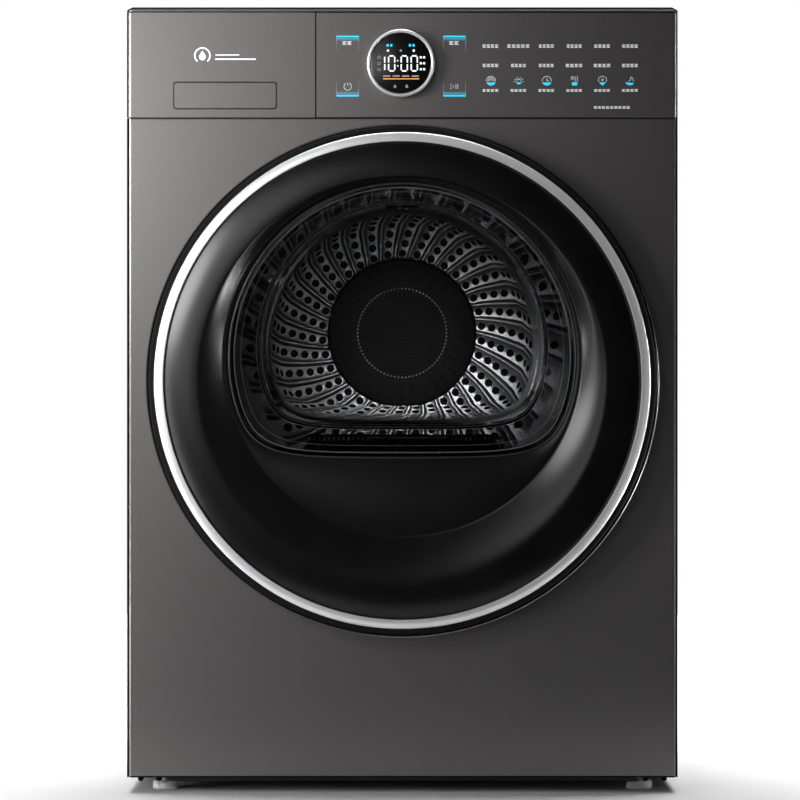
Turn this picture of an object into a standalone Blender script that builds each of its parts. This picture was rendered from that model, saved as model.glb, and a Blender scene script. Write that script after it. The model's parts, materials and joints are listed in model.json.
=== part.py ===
"""Front-loading clothes dryer with a round door, built as a kit of separate pieces.

Units are millimetres inside this file. +Z is up, the front faces -Y, and +X is the user's right.
The origin is the middle of the footprint at floor level.
"""

import math

import bmesh
import bpy
from mathutils import Vector

MM = 0.001
GAP = 0.3  # clearance between pieces that touch

# Overall size
WIDTH, DEPTH, HEIGHT = 595.0, 623.0, 850.0
HALF_WIDTH = WIDTH / 2
DOOR_FRONT_Y = -DEPTH / 2
COVER_BACK_Y = DEPTH / 2

# Cabinet
PANEL_Y = -280.0  # outer face of the front panel
FASCIA_Y = PANEL_Y - 1.0  # outer face of the control panel and the drawer front
FRONT_RETURN_Y = -262.3  # back edge of everything on the front
SIDE_FRONT_Y = FRONT_RETURN_Y + 0.6
SIDE_BACK_Y = 283.7
REAR_PANEL_Y = SIDE_BACK_Y + GAP
SHEET = 1.5
CORNER_R = 4.0
FOOT_H = 10.0
PANEL_BOTTOM_Z = 19.5
PANEL_TOP_Z = 730.0
FASCIA_BOTTOM_Z = 731.0
FASCIA_TOP_Z = 844.5
COVER_BOTTOM_Z = 845.6
FOOT_X, FOOT_FRONT_Y, FOOT_REAR_Y = 259.0, -225.0, 262.0
TRAY_FLOOR_Z = 21.0
ON_TRAY_Z = TRAY_FLOOR_Z + GAP

# Control panel and drawer
DRAWER_RIGHT_X = -94.5
SELECTOR_X, SELECTOR_Z = -1.6, 789.0
SELECTOR_R, SELECTOR_BORE_R, BOSS_R = 36.5, 32.8, 32.4
FLAP_X0, FLAP_X1 = -246.8, -136.9
FLAP_Z0, FLAP_Z1 = 741.0, 768.4
FLAP_AXIS_Y, FLAP_AXIS_Z = FASCIA_Y + 5.5, 765.0
TANK_FRONT_Y, TANK_BACK_Y = -225.0, 170.0
TANK_LEFT_X, TANK_RIGHT_X = -288.0, -100.0
TANK_BOTTOM_Z, TANK_TOP_Z = 734.5, 834.0
TANK_ARC_R = 302.0

# Door
DOOR_Z = 446.0
DOOR_R = 274.0
HOLE_R = 276.0
TRIM_R0, TRIM_R1 = 257.7, 267.7
DISH_R = 221.0
DISH_FLOOR_Z, DISH_FLOOR_R = 471.5, 194.0
WINDOW_Z, WINDOW_R, WINDOW_BOTTOM_Z = 471.7, 188.4, 361.6
BOWL_BACK_Z, BOWL_BACK_R, BOWL_BACK_BOTTOM_Z = 484.6, 157.0, 395.6
BOWL_BACK_Y = -212.0
MOUTH_Z = 478.0
HINGE_X, HINGE_Y = 264.0, -296.0
POCKET_Z0, POCKET_Z1 = 410.0, 482.0

# Drum and drive
DRUM_Z = 505.0
DRUM_R, DRUM_WALL = 287.0, 1.5
DRUM_FRONT_Y, DRUM_BACK_Y = -174.0, 258.0
DRUM_LIP_R = 256.0
BELT_Y0, BELT_Y1, BELT_T, BELT_GAP = 120.0, 128.0, 2.2, 0.5
MOTOR_X, MOTOR_Z = 190.0, 112.0
PULLEY_R = 7.0
IDLER_X, IDLER_Z, IDLER_R = 120.0, 130.0, 18.0
IDLER_PIVOT_X, IDLER_PIVOT_Z = 165.0, 62.0
ROLLER_R, ROLLER_ANGLE = 32.0, math.radians(38)
ROLLER_Y0, ROLLER_Y1 = -162.0, -142.0
ROLLER_DISTANCE = DRUM_R + 0.4 + ROLLER_R
BULKHEAD_Y = -236.0

# How many sides round pieces have
BIG_N, MID_N, SMALL_N = 48, 32, 16

# Finish name: colour, roughness, metallic
FINISHES = {
    "body_paint": ((0.090, 0.088, 0.086), 0.42, 0.6),
    "dark_plastic": ((0.030, 0.030, 0.031), 0.45, 0.0),
    "gloss_black": ((0.006, 0.006, 0.007), 0.08, 0.0),
    "chrome": ((0.80, 0.80, 0.81), 0.08, 1.0),
    "steel": ((0.55, 0.55, 0.56), 0.30, 1.0),
    "galvanised": ((0.46, 0.47, 0.48), 0.45, 0.9),
    "glass": ((0.10, 0.10, 0.11), 0.03, 0.0),
    "grey_plastic": ((0.30, 0.31, 0.32), 0.50, 0.0),
    "white_plastic": ((0.72, 0.72, 0.70), 0.45, 0.0),
    "rubber": ((0.03, 0.03, 0.03), 0.80, 0.0),
    "felt": ((0.55, 0.52, 0.46), 0.95, 0.0),
    "cast": ((0.05, 0.05, 0.05), 0.60, 0.5),
    "fins": ((0.70, 0.71, 0.72), 0.35, 1.0),
}

# Directions across and along each axis, used to place round pieces
BASES = {
    "X": (Vector((0, 1, 0)), Vector((0, 0, 1)), Vector((1, 0, 0))),
    "Y": (Vector((1, 0, 0)), Vector((0, 0, 1)), Vector((0, 1, 0))),
    "Z": (Vector((1, 0, 0)), Vector((0, 1, 0)), Vector((0, 0, 1))),
}


# ---------------------------------------------------------------- outlines


def arc(cx, cz, radius, start, end, steps):
    """Points on an arc, both ends included; angles in radians."""
    angles = [start + (end - start) * i / steps for i in range(steps + 1)]
    return [(cx + radius * math.cos(a), cz + radius * math.sin(a)) for a in angles]


def circle(cx, cz, radius, y, count=BIG_N):
    """A ring of points in an XZ plane."""
    points = arc(cx, cz, radius, 0, 2 * math.pi, count)[:-1]
    return [(x, y, z) for x, z in points]


def d_ring(radius, centre_z, bottom_z, y, count=BIG_N):
    """A circle in an XZ plane whose bottom is blended into a level line at bottom_z."""
    blend = 8
    ring = []
    for i in range(count):
        angle = 2 * math.pi * i / count
        down = -math.sin(angle)
        reach = radius
        if down > 0.01:
            floor = (centre_z - bottom_z) / down
            reach = (radius ** -blend + floor ** -blend) ** (-1 / blend)
        ring.append((reach * math.cos(angle), y, centre_z + reach * math.sin(angle)))
    return ring


def rounded(a0, a1, b0, b1, radius, steps=4):
    """A rounded rectangle in two coordinates, counter-clockwise."""
    quarter = math.pi / 2
    corners = ((a1, b1), (a0, b1), (a0, b0), (a1, b0))
    signs = ((-1, -1), (1, -1), (1, 1), (-1, 1))
    points = []
    for index, ((a, b), (sa, sb)) in enumerate(zip(corners, signs)):
        start = index * quarter
        points += arc(a + sa * radius, b + sb * radius, radius, start, start + quarter, steps)
    return points


def front_outline(x0, x1, y0, y1, round_left, round_right):
    """Plan outline of a front piece, with rounded outer corners where asked."""
    quarter = math.pi / 2
    left = [(x0, y0)]
    right = [(x1, y0)]
    if round_left:
        left = arc(x0 + CORNER_R, y0 + CORNER_R, CORNER_R, 2 * quarter, 3 * quarter, 4)
    if round_right:
        right = arc(x1 - CORNER_R, y0 + CORNER_R, CORNER_R, 3 * quarter, 4 * quarter, 4)
    return left + right + [(x1, y1), (x0, y1)]


# ---------------------------------------------------------------- solids


def loft(rings, closed=False):
    """Skin a row of equal rings; the ends are capped unless the row closes on itself."""
    bm = bmesh.new()
    loops = [[bm.verts.new(Vector(point) * MM) for point in ring] for ring in rings]
    pairs = list(zip(loops, loops[1:]))
    if closed:
        pairs.append((loops[-1], loops[0]))
    count = len(loops[0])
    for first, second in pairs:
        for i in range(count):
            j = (i + 1) % count
            bm.faces.new((first[i], first[j], second[j], second[i]))
    if not closed:
        bm.faces.new(loops[0])
        bm.faces.new(loops[-1])
    bmesh.ops.recalc_face_normals(bm, faces=bm.faces)
    return bm


def prism(outline, axis, start, end):
    """Extrude an outline, given in the axis' two cross directions, from start to end."""
    across, up, along = BASES[axis]
    rings = [[across * a + up * b + along * h for a, b in outline] for h in (start, end)]
    return loft(rings)


def box(x0, x1, y0, y1, z0, z1):
    """A plain block."""
    return prism([(x0, y0), (x1, y0), (x1, y1), (x0, y1)], "Z", z0, z1)


def turned(profile, centre, axis, count=MID_N, closed=False):
    """Turn a (radius, height) profile about an axis through centre's two cross coordinates."""
    across, up, along = BASES[axis]
    rings = []
    for radius, height in profile:
        points = arc(centre[0], centre[1], radius, 0, 2 * math.pi, count)[:-1]
        rings.append([across * a + up * b + along * height for a, b in points])
    return loft(rings, closed)


def cup(x0, x1, y0, y1, z0, z1, wall, open_side):
    """A box of even wall thickness with one side open: -Y or +Z."""
    if open_side == "-Y":
        across = (x0, x1, z0, z1)
        start, end, axis = y0, y1, "Y"
        inner_end = y1 - wall
    else:
        across = (x0, x1, y0, y1)
        start, end, axis = z1, z0, "Z"
        inner_end = z0 + wall
    a0, a1, b0, b1 = across
    outer = [(a0, b0), (a1, b0), (a1, b1), (a0, b1)]
    inner = [(a0 + wall, b0 + wall), (a1 - wall, b0 + wall), (a1 - wall, b1 - wall), (a0 + wall, b1 - wall)]
    side, up, along = BASES[axis]
    levels = ((outer, end), (outer, start), (inner, start), (inner, inner_end))
    return loft([[side * a + up * b + along * h for a, b in shape] for shape, h in levels])


def boolean(base, tool, operation="DIFFERENCE"):
    """Return base with tool cut from it, or joined to it."""
    pair = []
    for shape in (base, tool):
        mesh = bpy.data.meshes.new("work")
        shape.to_mesh(mesh)
        shape.free()
        work = bpy.data.objects.new("work", mesh)
        bpy.context.scene.collection.objects.link(work)
        pair.append(work)
    modifier = pair[0].modifiers.new("boolean", "BOOLEAN")
    modifier.operation = operation
    modifier.solver = "EXACT"
    modifier.object = pair[1]
    result = bmesh.new()
    result.from_object(pair[0], bpy.context.evaluated_depsgraph_get())
    for work in pair:
        bpy.data.objects.remove(work)
    return result


def cut(base, *tools):
    for tool in tools:
        base = boolean(base, tool)
    return base


def join(base, *tools):
    for tool in tools:
        base = boolean(base, tool, "UNION")
    return base


# ---------------------------------------------------------------- objects


def add(name, shape, finish, pivot=None):
    """Make the named object, with its origin on its joint's axis if it moves."""
    mesh = bpy.data.meshes.new(name)
    shape.to_mesh(mesh)
    shape.free()
    mesh.shade_smooth()
    mesh.set_sharp_from_angle(angle=math.radians(35))
    thing = bpy.data.objects.new(name, mesh)
    bpy.context.scene.collection.objects.link(thing)
    if pivot:
        offset = Vector(pivot) * MM
        for vertex in mesh.vertices:
            vertex.co -= offset
        thing.location = offset
    colour, roughness, metallic = FINISHES[finish]
    material = bpy.data.materials.new(name + "_" + finish)
    material.use_nodes = True
    shader = material.node_tree.nodes["Principled BSDF"]
    shader.inputs["Base Color"].default_value = (*colour, 1)
    shader.inputs["Roughness"].default_value = roughness
    shader.inputs["Metallic"].default_value = metallic
    mesh.materials.append(material)


# ---------------------------------------------------------------- cabinet


def make_top_cover():
    back = SIDE_BACK_Y + 2
    levels = (
        (838, 12, 40), (COVER_BOTTOM_Z, 12, 40), (COVER_BOTTOM_Z, 0, 0),
        (848, 0, 0), (849.3, 1, 1), (HEIGHT, 4, 4),
    )
    rings = []
    for z, inset, front_inset in levels:
        front = FASCIA_Y - 2 + front_inset
        outline = rounded(-HALF_WIDTH + inset, HALF_WIDTH - inset, front, back - inset, 6)
        rings.append([(x, y, z) for x, y in outline])
    add("top_cover", loft(rings), "body_paint")


def make_side_panels():
    front_flange, rear_flange = 6.0, 17.0
    for name, side in (("left_side_panel", -1), ("right_side_panel", 1)):
        outer, inner = HALF_WIDTH, HALF_WIDTH - SHEET
        outline = [
            (outer, SIDE_FRONT_Y), (outer, SIDE_BACK_Y), (outer - rear_flange, SIDE_BACK_Y),
            (outer - rear_flange, SIDE_BACK_Y - SHEET), (inner, SIDE_BACK_Y - SHEET),
            (inner, SIDE_FRONT_Y + SHEET), (outer - front_flange, SIDE_FRONT_Y + SHEET),
            (outer - front_flange, SIDE_FRONT_Y),
        ]
        add(name, prism([(side * x, y) for x, y in outline], "Z", 18, 845.2), "body_paint")


def make_front_panel():
    """A shallow tray with a large round hole whose edge rolls inward."""
    outline = front_outline(-HALF_WIDTH, HALF_WIDTH, PANEL_Y, FRONT_RETURN_Y, True, True)
    inside = HALF_WIDTH - SHEET
    hollow = box(-inside, inside, PANEL_Y + SHEET, 0, PANEL_BOTTOM_Z + SHEET, PANEL_TOP_Z - SHEET)
    tray = cut(prism(outline, "Z", PANEL_BOTTOM_Z, PANEL_TOP_Z), hollow)
    lip_back_y, lip_outer_r, fillet = PANEL_Y + 10, HOLE_R + 8, 4.0
    lip = turned([(HOLE_R - 6, PANEL_Y + 0.8), (lip_outer_r, PANEL_Y + 0.8), (lip_outer_r, lip_back_y),
                  (HOLE_R - 6, lip_back_y)], (0, DOOR_Z), "Y", BIG_N, True)
    flare = [(HOLE_R + fillet, PANEL_Y - 5)]
    for radius, y in arc(HOLE_R + fillet, PANEL_Y + fillet, fillet, 1.5 * math.pi, math.pi, 3):
        flare.append((radius, y))
    flare.append((HOLE_R, lip_back_y + 5))
    hole = turned(flare, (0, DOOR_Z), "Y", BIG_N)
    add("front_panel", cut(join(tray, lip), hole), "body_paint")


def make_rear_panel():
    plate = box(-HALF_WIDTH + 1.5, HALF_WIDTH - 1.5, REAR_PANEL_Y, REAR_PANEL_Y + SHEET, 20, 845)
    holes = [turned([(18, REAR_PANEL_Y - 2), (18, REAR_PANEL_Y + 4)], (0, DRUM_Z), "Y", SMALL_N)]
    for i in range(6):
        angle = math.radians(30 + 60 * i)
        centre = (140 * math.cos(angle), DRUM_Z + 140 * math.sin(angle))
        holes.append(turned([(30, REAR_PANEL_Y - 2), (30, REAR_PANEL_Y + 4)], centre, "Y", 12))
    add("rear_panel", cut(plate, *holes), "galvanised")


def make_rear_duct_cover():
    """The round air duct on the back, with its channel down to the fan."""
    face = REAR_PANEL_Y + SHEET + GAP
    wall = 2.0
    dome = turned([(238, face), (238, 300), (225, COVER_BACK_Y)], (0, DRUM_Z), "Y", BIG_N)
    channel = box(110, 270, face, 305, 70, 400)
    dome_inside = turned([(236, face - 5), (236, 299), (224, COVER_BACK_Y - wall)], (0, DRUM_Z), "Y", BIG_N)
    channel_inside = box(110 + wall, 270 - wall, face - 5, 305 - wall, 70 + wall, 400)
    cover = cut(join(dome, channel), join(dome_inside, channel_inside))
    add("rear_duct_cover", cover, "galvanised")


def make_base_tray():
    front, back = -258.0, SIDE_BACK_Y - 3
    tray = box(-290, 290, front, back, 17.5, 60)
    skirt = box(-255, 255, front + 8, back - 10, FOOT_H, 18)
    hollow = box(-287, 287, front + 3, back - 3, TRAY_FLOOR_Z, 70)
    stem_holes = [turned([(5.3, 5), (5.3, 80)], (x, y), "Z", 12) for x, y in foot_places().values()]
    add("base_tray", cut(join(tray, skirt), hollow, *stem_holes), "dark_plastic")


def foot_places():
    return {
        "foot_front_left": (-FOOT_X, FOOT_FRONT_Y), "foot_front_right": (FOOT_X, FOOT_FRONT_Y),
        "foot_rear_left": (-FOOT_X, FOOT_REAR_Y), "foot_rear_right": (FOOT_X, FOOT_REAR_Y),
    }


def make_feet():
    profile = [(12.5, 0), (14, 1.5), (14, 8), (12, FOOT_H - GAP), (5, FOOT_H - GAP), (5, 38)]
    for name, (x, y) in foot_places().items():
        add(name, turned(profile, (x, y), "Z", 12), "grey_plastic", (x, y, 0))


def make_power_inlet_gland():
    start = REAR_PANEL_Y + SHEET + GAP
    profile = [(4, start), (14, start), (14, start + 2.5), (9, start + 4), (7, 304), (4, 304)]
    add("power_inlet_gland", turned(profile, (-250, 80), "Y", SMALL_N, True), "rubber")


# ---------------------------------------------------------------- controls and drawer


def make_control_panel():
    outline = front_outline(DRAWER_RIGHT_X + 1, HALF_WIDTH, FASCIA_Y, FRONT_RETURN_Y, False, True)
    hollow = box(DRAWER_RIGHT_X + 3, HALF_WIDTH - 2, FASCIA_Y + 2.5, 0, FASCIA_BOTTOM_Z + 2, FASCIA_TOP_Z - 2)
    shell = cut(prism(outline, "Z", FASCIA_BOTTOM_Z, FASCIA_TOP_Z), hollow)
    centre = (SELECTOR_X, SELECTOR_Z)
    boss = turned([(BOSS_R, -292), (BOSS_R, -270)], centre, "Y", MID_N)
    bore = turned([(30, -300), (30, -260)], centre, "Y", MID_N)
    add("control_panel", cut(join(shell, boss), bore), "body_paint")


def make_selector():
    centre = (SELECTOR_X, SELECTOR_Z)
    front = FASCIA_Y - 14
    lens = [(32.0, front + 0.5), (32.5, front + 1), (32.5, -292.3), (29.7, -292.3), (29.7, -284)]
    add("display_lens", turned(lens, centre, "Y"), "gloss_black")
    ring = [(SELECTOR_BORE_R, front + 0.8), (SELECTOR_BORE_R + 1, front), (SELECTOR_R - 1, front),
            (SELECTOR_R, front + 1.2), (SELECTOR_R, FASCIA_Y - 0.5), (SELECTOR_BORE_R, FASCIA_Y - 0.5)]
    add("selector_ring", turned(ring, centre, "Y", MID_N, True), "chrome", (SELECTOR_X, FASCIA_Y, SELECTOR_Z))


def make_control_box():
    add("control_box", cup(-80, 284, -257, -207, 756, 832, 2, "-Y"), "white_plastic")


def make_drawer_front():
    """Shell with the grip hole, two lugs for the flap pin and two arms that carry the tank."""
    outline = front_outline(-HALF_WIDTH, DRAWER_RIGHT_X, FASCIA_Y, FRONT_RETURN_Y, True, False)
    right = DRAWER_RIGHT_X - 2
    hollow = box(-HALF_WIDTH + 2, right, FASCIA_Y + 2.5, 0, FASCIA_BOTTOM_Z + 2, FASCIA_TOP_Z - 2)
    shell = cut(prism(outline, "Z", FASCIA_BOTTOM_Z, FASCIA_TOP_Z), hollow)
    grip = prism(rounded(FLAP_X0 - 0.5, FLAP_X1 + 0.5, FLAP_Z0 - 0.5, FLAP_Z1 + 0.5, 3.5), "Y", -290, -270)
    lug_left = box(FLAP_X0 - 6, FLAP_X0 - 2, FASCIA_Y + 2, -271.5, 761, 769)
    lug_right = box(FLAP_X1 + 2, FLAP_X1 + 6, FASCIA_Y + 2, -271.5, 761, 769)
    arm_sides = ((-288, -284), (-104, -100))
    arms = [box(x0, x1, FASCIA_Y + 2, TANK_FRONT_Y - GAP, 792, 830) for x0, x1 in arm_sides]
    pin_hole = turned([(1.55, FLAP_X0 - 20), (1.55, FLAP_X1 + 20)], (FLAP_AXIS_Y, FLAP_AXIS_Z), "X", 10)
    shape = cut(join(shell, lug_left, lug_right, *arms), grip, pin_hole)
    add("drawer_front", shape, "body_paint", (0, FASCIA_Y, FASCIA_BOTTOM_Z))


def make_grip_flap():
    pivot = (0, FLAP_AXIS_Y, FLAP_AXIS_Z)
    plate = prism(rounded(FLAP_X0, FLAP_X1, FLAP_Z0, FLAP_Z1, 3), "Y", FASCIA_Y, FASCIA_Y + 2.5)
    barrel = turned([(3.4, FLAP_X0 + 4), (3.4, FLAP_X1 - 8)], pivot[1:], "X", 12)
    bore = turned([(1.55, FLAP_X0 - 9), (1.55, FLAP_X1 + 9)], pivot[1:], "X", 10)
    add("drawer_grip_flap", cut(join(plate, barrel), bore), "body_paint", pivot)
    pin = turned([(1.25, FLAP_X0 - 5), (1.25, FLAP_X1 + 5)], pivot[1:], "X", 8)
    add("grip_flap_pin", pin, "steel")
    make_flap_spring()


def make_flap_spring():
    """Torsion spring: a small coil round the flap pin."""
    turns, steps, coil_r, wire_r = 3, 9, 2.25, 0.35
    start, pitch = FLAP_X1 - 6, 1.2
    rings = []
    for i in range(turns * steps + 1):
        angle = 2 * math.pi * i / steps
        outward = Vector((0, math.cos(angle), math.sin(angle)))
        centre = Vector((start + pitch * i / steps, FLAP_AXIS_Y, FLAP_AXIS_Z)) + outward * coil_r
        side = Vector((1, 0, 0))
        rings.append([centre + (outward * math.cos(a) + side * math.sin(a)) * wire_r
                      for a in (0, math.pi / 2, math.pi, 1.5 * math.pi)])
    add("grip_flap_spring", loft(rings), "steel")


def tank_outline(inset, arc_r):
    """Cross-section of the tank: flat at the left, an arc over the drum at the right."""
    left, right = TANK_LEFT_X + inset, TANK_RIGHT_X - inset
    bottom, top = TANK_BOTTOM_Z + inset, TANK_TOP_Z - inset
    start = math.acos(right / arc_r)
    end = math.pi - math.asin((bottom - DRUM_Z) / arc_r)
    return [(left, top), (right, top)] + arc(0, DRUM_Z, arc_r, start, end, 6) + [(left, bottom)]


def make_water_tank():
    body = prism(tank_outline(0, TANK_ARC_R), "Y", TANK_FRONT_Y, TANK_BACK_Y)
    hollow = prism(tank_outline(2, TANK_ARC_R + 2), "Y", TANK_FRONT_Y + 2, TANK_BACK_Y - 2)
    spout = turned([(24, TANK_TOP_Z - 10), (24, TANK_TOP_Z + 10)], (-230, TANK_FRONT_Y + 60), "Z", SMALL_N)
    add("water_tank", cut(body, join(hollow, spout)), "white_plastic", (0, FASCIA_Y, FASCIA_BOTTOM_Z))


def make_tank_housing():
    """The fixed shelf under and beside the tank."""
    radii = (TANK_ARC_R - 1.4, TANK_ARC_R - 3.0)
    rights = (TANK_RIGHT_X + 1.4, TANK_RIGHT_X + 3.0)
    bottoms = (TANK_BOTTOM_Z - 1.5, TANK_BOTTOM_Z - 3.0)
    paths = []
    for radius, right, bottom in zip(radii, rights, bottoms):
        start = math.pi - math.asin((bottom - DRUM_Z) / radius)
        end = math.acos(right / radius)
        paths.append([(-290, bottom)] + arc(0, DRUM_Z, radius, start, end, 6) + [(right, TANK_TOP_Z)])
    outline = paths[0] + paths[1][::-1]
    add("tank_housing", prism(outline, "Y", TANK_FRONT_Y + 1, TANK_BACK_Y + 5), "grey_plastic")


# ---------------------------------------------------------------- door


def make_loading_surround():
    """The fixed ring behind the door, with the mouth that leads into the drum."""
    face = -269.2
    rings = [
        circle(0, DOOR_Z, HOLE_R + 5, face), d_ring(200, MOUTH_Z, 348, face), d_ring(192, MOUTH_Z, 368, -214),
        d_ring(194.5, MOUTH_Z, 365.5, -214), d_ring(202.5, MOUTH_Z, 345.5, face + 3),
        circle(0, DOOR_Z, HOLE_R + 5, face + 3),
    ]
    slot = box(-257, -231, -275, -260, 438, 454)
    add("loading_surround", cut(loft(rings, True), slot), "dark_plastic")


def make_door_seal():
    back, front = -269.5, -275.4
    inner = ((206, 343, back), (206, 343, front + 1), (208, 341, front))
    section = inner + ((212, 338, front), (214, 336, back))
    rings = [d_ring(radius, MOUTH_Z, bottom, y) for radius, bottom, y in section]
    add("door_seal", loft(rings, True), "rubber")


def make_latch():
    add("latch_housing", cup(-262, -227, -265.8, -238, 430, 462, 2, "-Y"), "dark_plastic")
    pivot_x, pivot_y = -244.0, -273.4
    hook = [(-242, pivot_y), (-242, -249), (-246, -246), (-251, -253), (-246, -255), (-246, pivot_y)]
    knuckle = turned([(2.3, 441), (2.3, 451)], (pivot_x, pivot_y), "Z", 12)
    shank = prism(hook, "Z", 441, 451)
    add("latch_hook", join(knuckle, shank), "steel", (pivot_x, pivot_y, 446))


def make_hinge():
    """Goose-neck bracket on the cabinet, two-lug leaf in the door, and the pin between them."""
    pivot = (HINGE_X, HINGE_Y, DOOR_Z)
    knuckle_r, bore_r, pin_r, sheet = 5.0, 2.8, 2.5, 3.0
    elbow = HINGE_X - 21.5
    plate_y = -272.0
    meet = math.asin(sheet / 2 / knuckle_r)
    outline = [(HINGE_X - 2, plate_y + 2.5), (elbow, plate_y + 2.5), (elbow, HINGE_Y - sheet / 2)]
    outline += arc(HINGE_X, HINGE_Y, knuckle_r, math.pi + meet, 3 * math.pi - meet, 14)
    outline += [(elbow + sheet, HINGE_Y + sheet / 2), (elbow + sheet, plate_y), (HINGE_X - 2, plate_y)]
    bracket = prism(outline, "Z", 424, 468)
    bore = turned([(bore_r, 400), (bore_r, 500)], pivot[:2], "Z", 16)
    add("hinge_bracket", cut(bracket, bore), "steel")
    back = -303 + GAP
    leaf = box(HINGE_X - 20.5, HINGE_X - 6, back, back + 2, 412, 480)
    lugs = [box(HINGE_X - 20.5, HINGE_X + 4.6, back, HINGE_Y + 5, z, z + 4) for z in (416, 472)]
    bore = turned([(bore_r, 400), (bore_r, 500)], pivot[:2], "Z", 16)
    add("hinge_leaf", cut(join(leaf, *lugs), bore), "steel", pivot)
    pin = [(pin_r, 413), (pin_r, 476.3), (4, 476.3), (4, 478.5)]
    add("hinge_pin", turned(pin, pivot[:2], "Z", 12), "steel", pivot)


def make_door_frame():
    """Rim open at the back, with a pocket for the hinge."""
    front, back = -306.0, -284.0
    profile = [(238, front), (272.5, front), (DOOR_R, front + 2), (DOOR_R, back), (271, back),
               (271, front + 3), (241, front + 3), (241, back + 2), (238, back + 2)]
    frame = turned(profile, (0, DOOR_Z), "Y", BIG_N, True)
    pocket = box(225, 270, front + 3.1, back + 6, POCKET_Z0, POCKET_Z1)
    notch = box(260, 285, HINGE_Y + 1, back + 6, 420, 472)
    add("door_frame", cut(frame, pocket, notch), "dark_plastic", (HINGE_X, HINGE_Y, DOOR_Z))


def make_door_trim_ring():
    back = -306.3
    profile = [(TRIM_R0, back), (TRIM_R0, DOOR_FRONT_Y + 1.5), (TRIM_R0 + 1.5, DOOR_FRONT_Y),
               (TRIM_R1 - 3, DOOR_FRONT_Y), (TRIM_R1 - 0.5, DOOR_FRONT_Y + 1.5), (TRIM_R1, back)]
    ring = turned(profile, (0, DOOR_Z), "Y", BIG_N, True)
    add("door_trim_ring", ring, "chrome", (HINGE_X, HINGE_Y, DOOR_Z))


def make_door_fascia():
    """Flat outer annulus, off-centre dished wall, and floor with the D-shaped window hole."""
    face, floor, wall = -308.8, -292.5, 2.5
    rings = [
        circle(0, DOOR_Z, TRIM_R0 - GAP, face), circle(0, DOOR_Z, DISH_R, face),
        circle(0, DISH_FLOOR_Z, DISH_FLOOR_R, floor), d_ring(WINDOW_R, WINDOW_Z, WINDOW_BOTTOM_Z, floor),
        d_ring(WINDOW_R, WINDOW_Z, WINDOW_BOTTOM_Z, floor + wall),
        circle(0, DISH_FLOOR_Z, DISH_FLOOR_R + 1, floor + wall),
        circle(0, DOOR_Z, DISH_R + wall, face + wall), circle(0, DOOR_Z, TRIM_R0 - GAP, face + wall),
    ]
    add("door_fascia", loft(rings, True), "gloss_black", (HINGE_X, HINGE_Y, DOOR_Z))


def make_door_glazing():
    """Outer pane and the glass bowl behind it."""
    pivot = (HINGE_X, HINGE_Y, DOOR_Z)
    pane = [d_ring(WINDOW_R + 3, WINDOW_Z, WINDOW_BOTTOM_Z - 3, y) for y in (-289.6, -286.2)]
    add("door_window", loft(pane), "glass", pivot)
    front, flange_back, back, wall = -285.9, -281.9, BOWL_BACK_Y, 3.5
    rings = [
        d_ring(BOWL_BACK_R - wall, BOWL_BACK_Z, BOWL_BACK_BOTTOM_Z + wall, back - wall),
        d_ring(BOWL_BACK_R + 2, BOWL_BACK_Z, BOWL_BACK_BOTTOM_Z - 2, back - 7),
        d_ring(181.5, 473, 368.5, front),
        d_ring(198, WINDOW_Z, 352, front),
        d_ring(198, WINDOW_Z, 352, flange_back),
        d_ring(185, 473, 365, flange_back),
        d_ring(BOWL_BACK_R + 6, BOWL_BACK_Z, BOWL_BACK_BOTTOM_Z - 6, back - 4),
        d_ring(BOWL_BACK_R, BOWL_BACK_Z, BOWL_BACK_BOTTOM_Z, back),
    ]
    add("door_bowl", loft(rings), "glass", pivot)


def make_door_inner_frame():
    """Ring that clamps the bowl, with the hinge cut-out and two lugs for the latch hook."""
    front, back = -281.6, -276.0
    rings = [circle(0, DOOR_Z, 262, front), d_ring(187, 473, 363, front),
             d_ring(187, 473, 363, back), circle(0, DOOR_Z, 262, back)]
    lugs = [box(-249, -239, back - 1, -270.8, z, z + 5) for z in (434.5, 452.5)]
    pocket = box(HINGE_X - 24, 275, -290, -270, 418, 474)
    add("door_inner_frame", cut(join(loft(rings, True), *lugs), pocket), "dark_plastic",
        (HINGE_X, HINGE_Y, DOOR_Z))


# ---------------------------------------------------------------- drum


def roller_places():
    drop = ROLLER_DISTANCE * math.cos(ROLLER_ANGLE)
    reach = ROLLER_DISTANCE * math.sin(ROLLER_ANGLE)
    return {"support_roller_left": (-reach, DRUM_Z - drop), "support_roller_right": (reach, DRUM_Z - drop)}


def make_front_bulkhead():
    """Plate with the mouth hole, the seal ring inside the drum's lip, and two roller spindles."""
    plate = box(-286.5, 286.5, BULKHEAD_Y, BULKHEAD_Y + 3, ON_TRAY_Z, 725)
    mouth = loft([d_ring(201, MOUTH_Z, 351, y) for y in (BULKHEAD_Y - 5, BULKHEAD_Y + 8)])
    ring = turned([(246, BULKHEAD_Y + 2), (250, BULKHEAD_Y + 2), (250, -168), (246, -168)],
                  (0, DRUM_Z), "Y", BIG_N, True)
    duct_gap = box(-118, 118, BULKHEAD_Y + 3, -182.7, 240, 300)
    spindles = []
    for x, z in roller_places().values():
        profile = [(9, BULKHEAD_Y + 2), (9, ROLLER_Y0 - 2), (5, ROLLER_Y0 - 2), (5, ROLLER_Y1 + 3)]
        spindles.append(turned(profile, (x, z), "Y", 14))
    add("front_bulkhead", cut(join(cut(plate, mouth), cut(ring, duct_gap), *spindles)), "dark_plastic")


def make_drum_front_seal():
    profile = [(250.4, -181.5), (255.0, -181.5), (255.0, -169), (250.4, -169)]
    add("drum_front_seal", turned(profile, (0, DRUM_Z), "Y", BIG_N, True), "felt")


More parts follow.
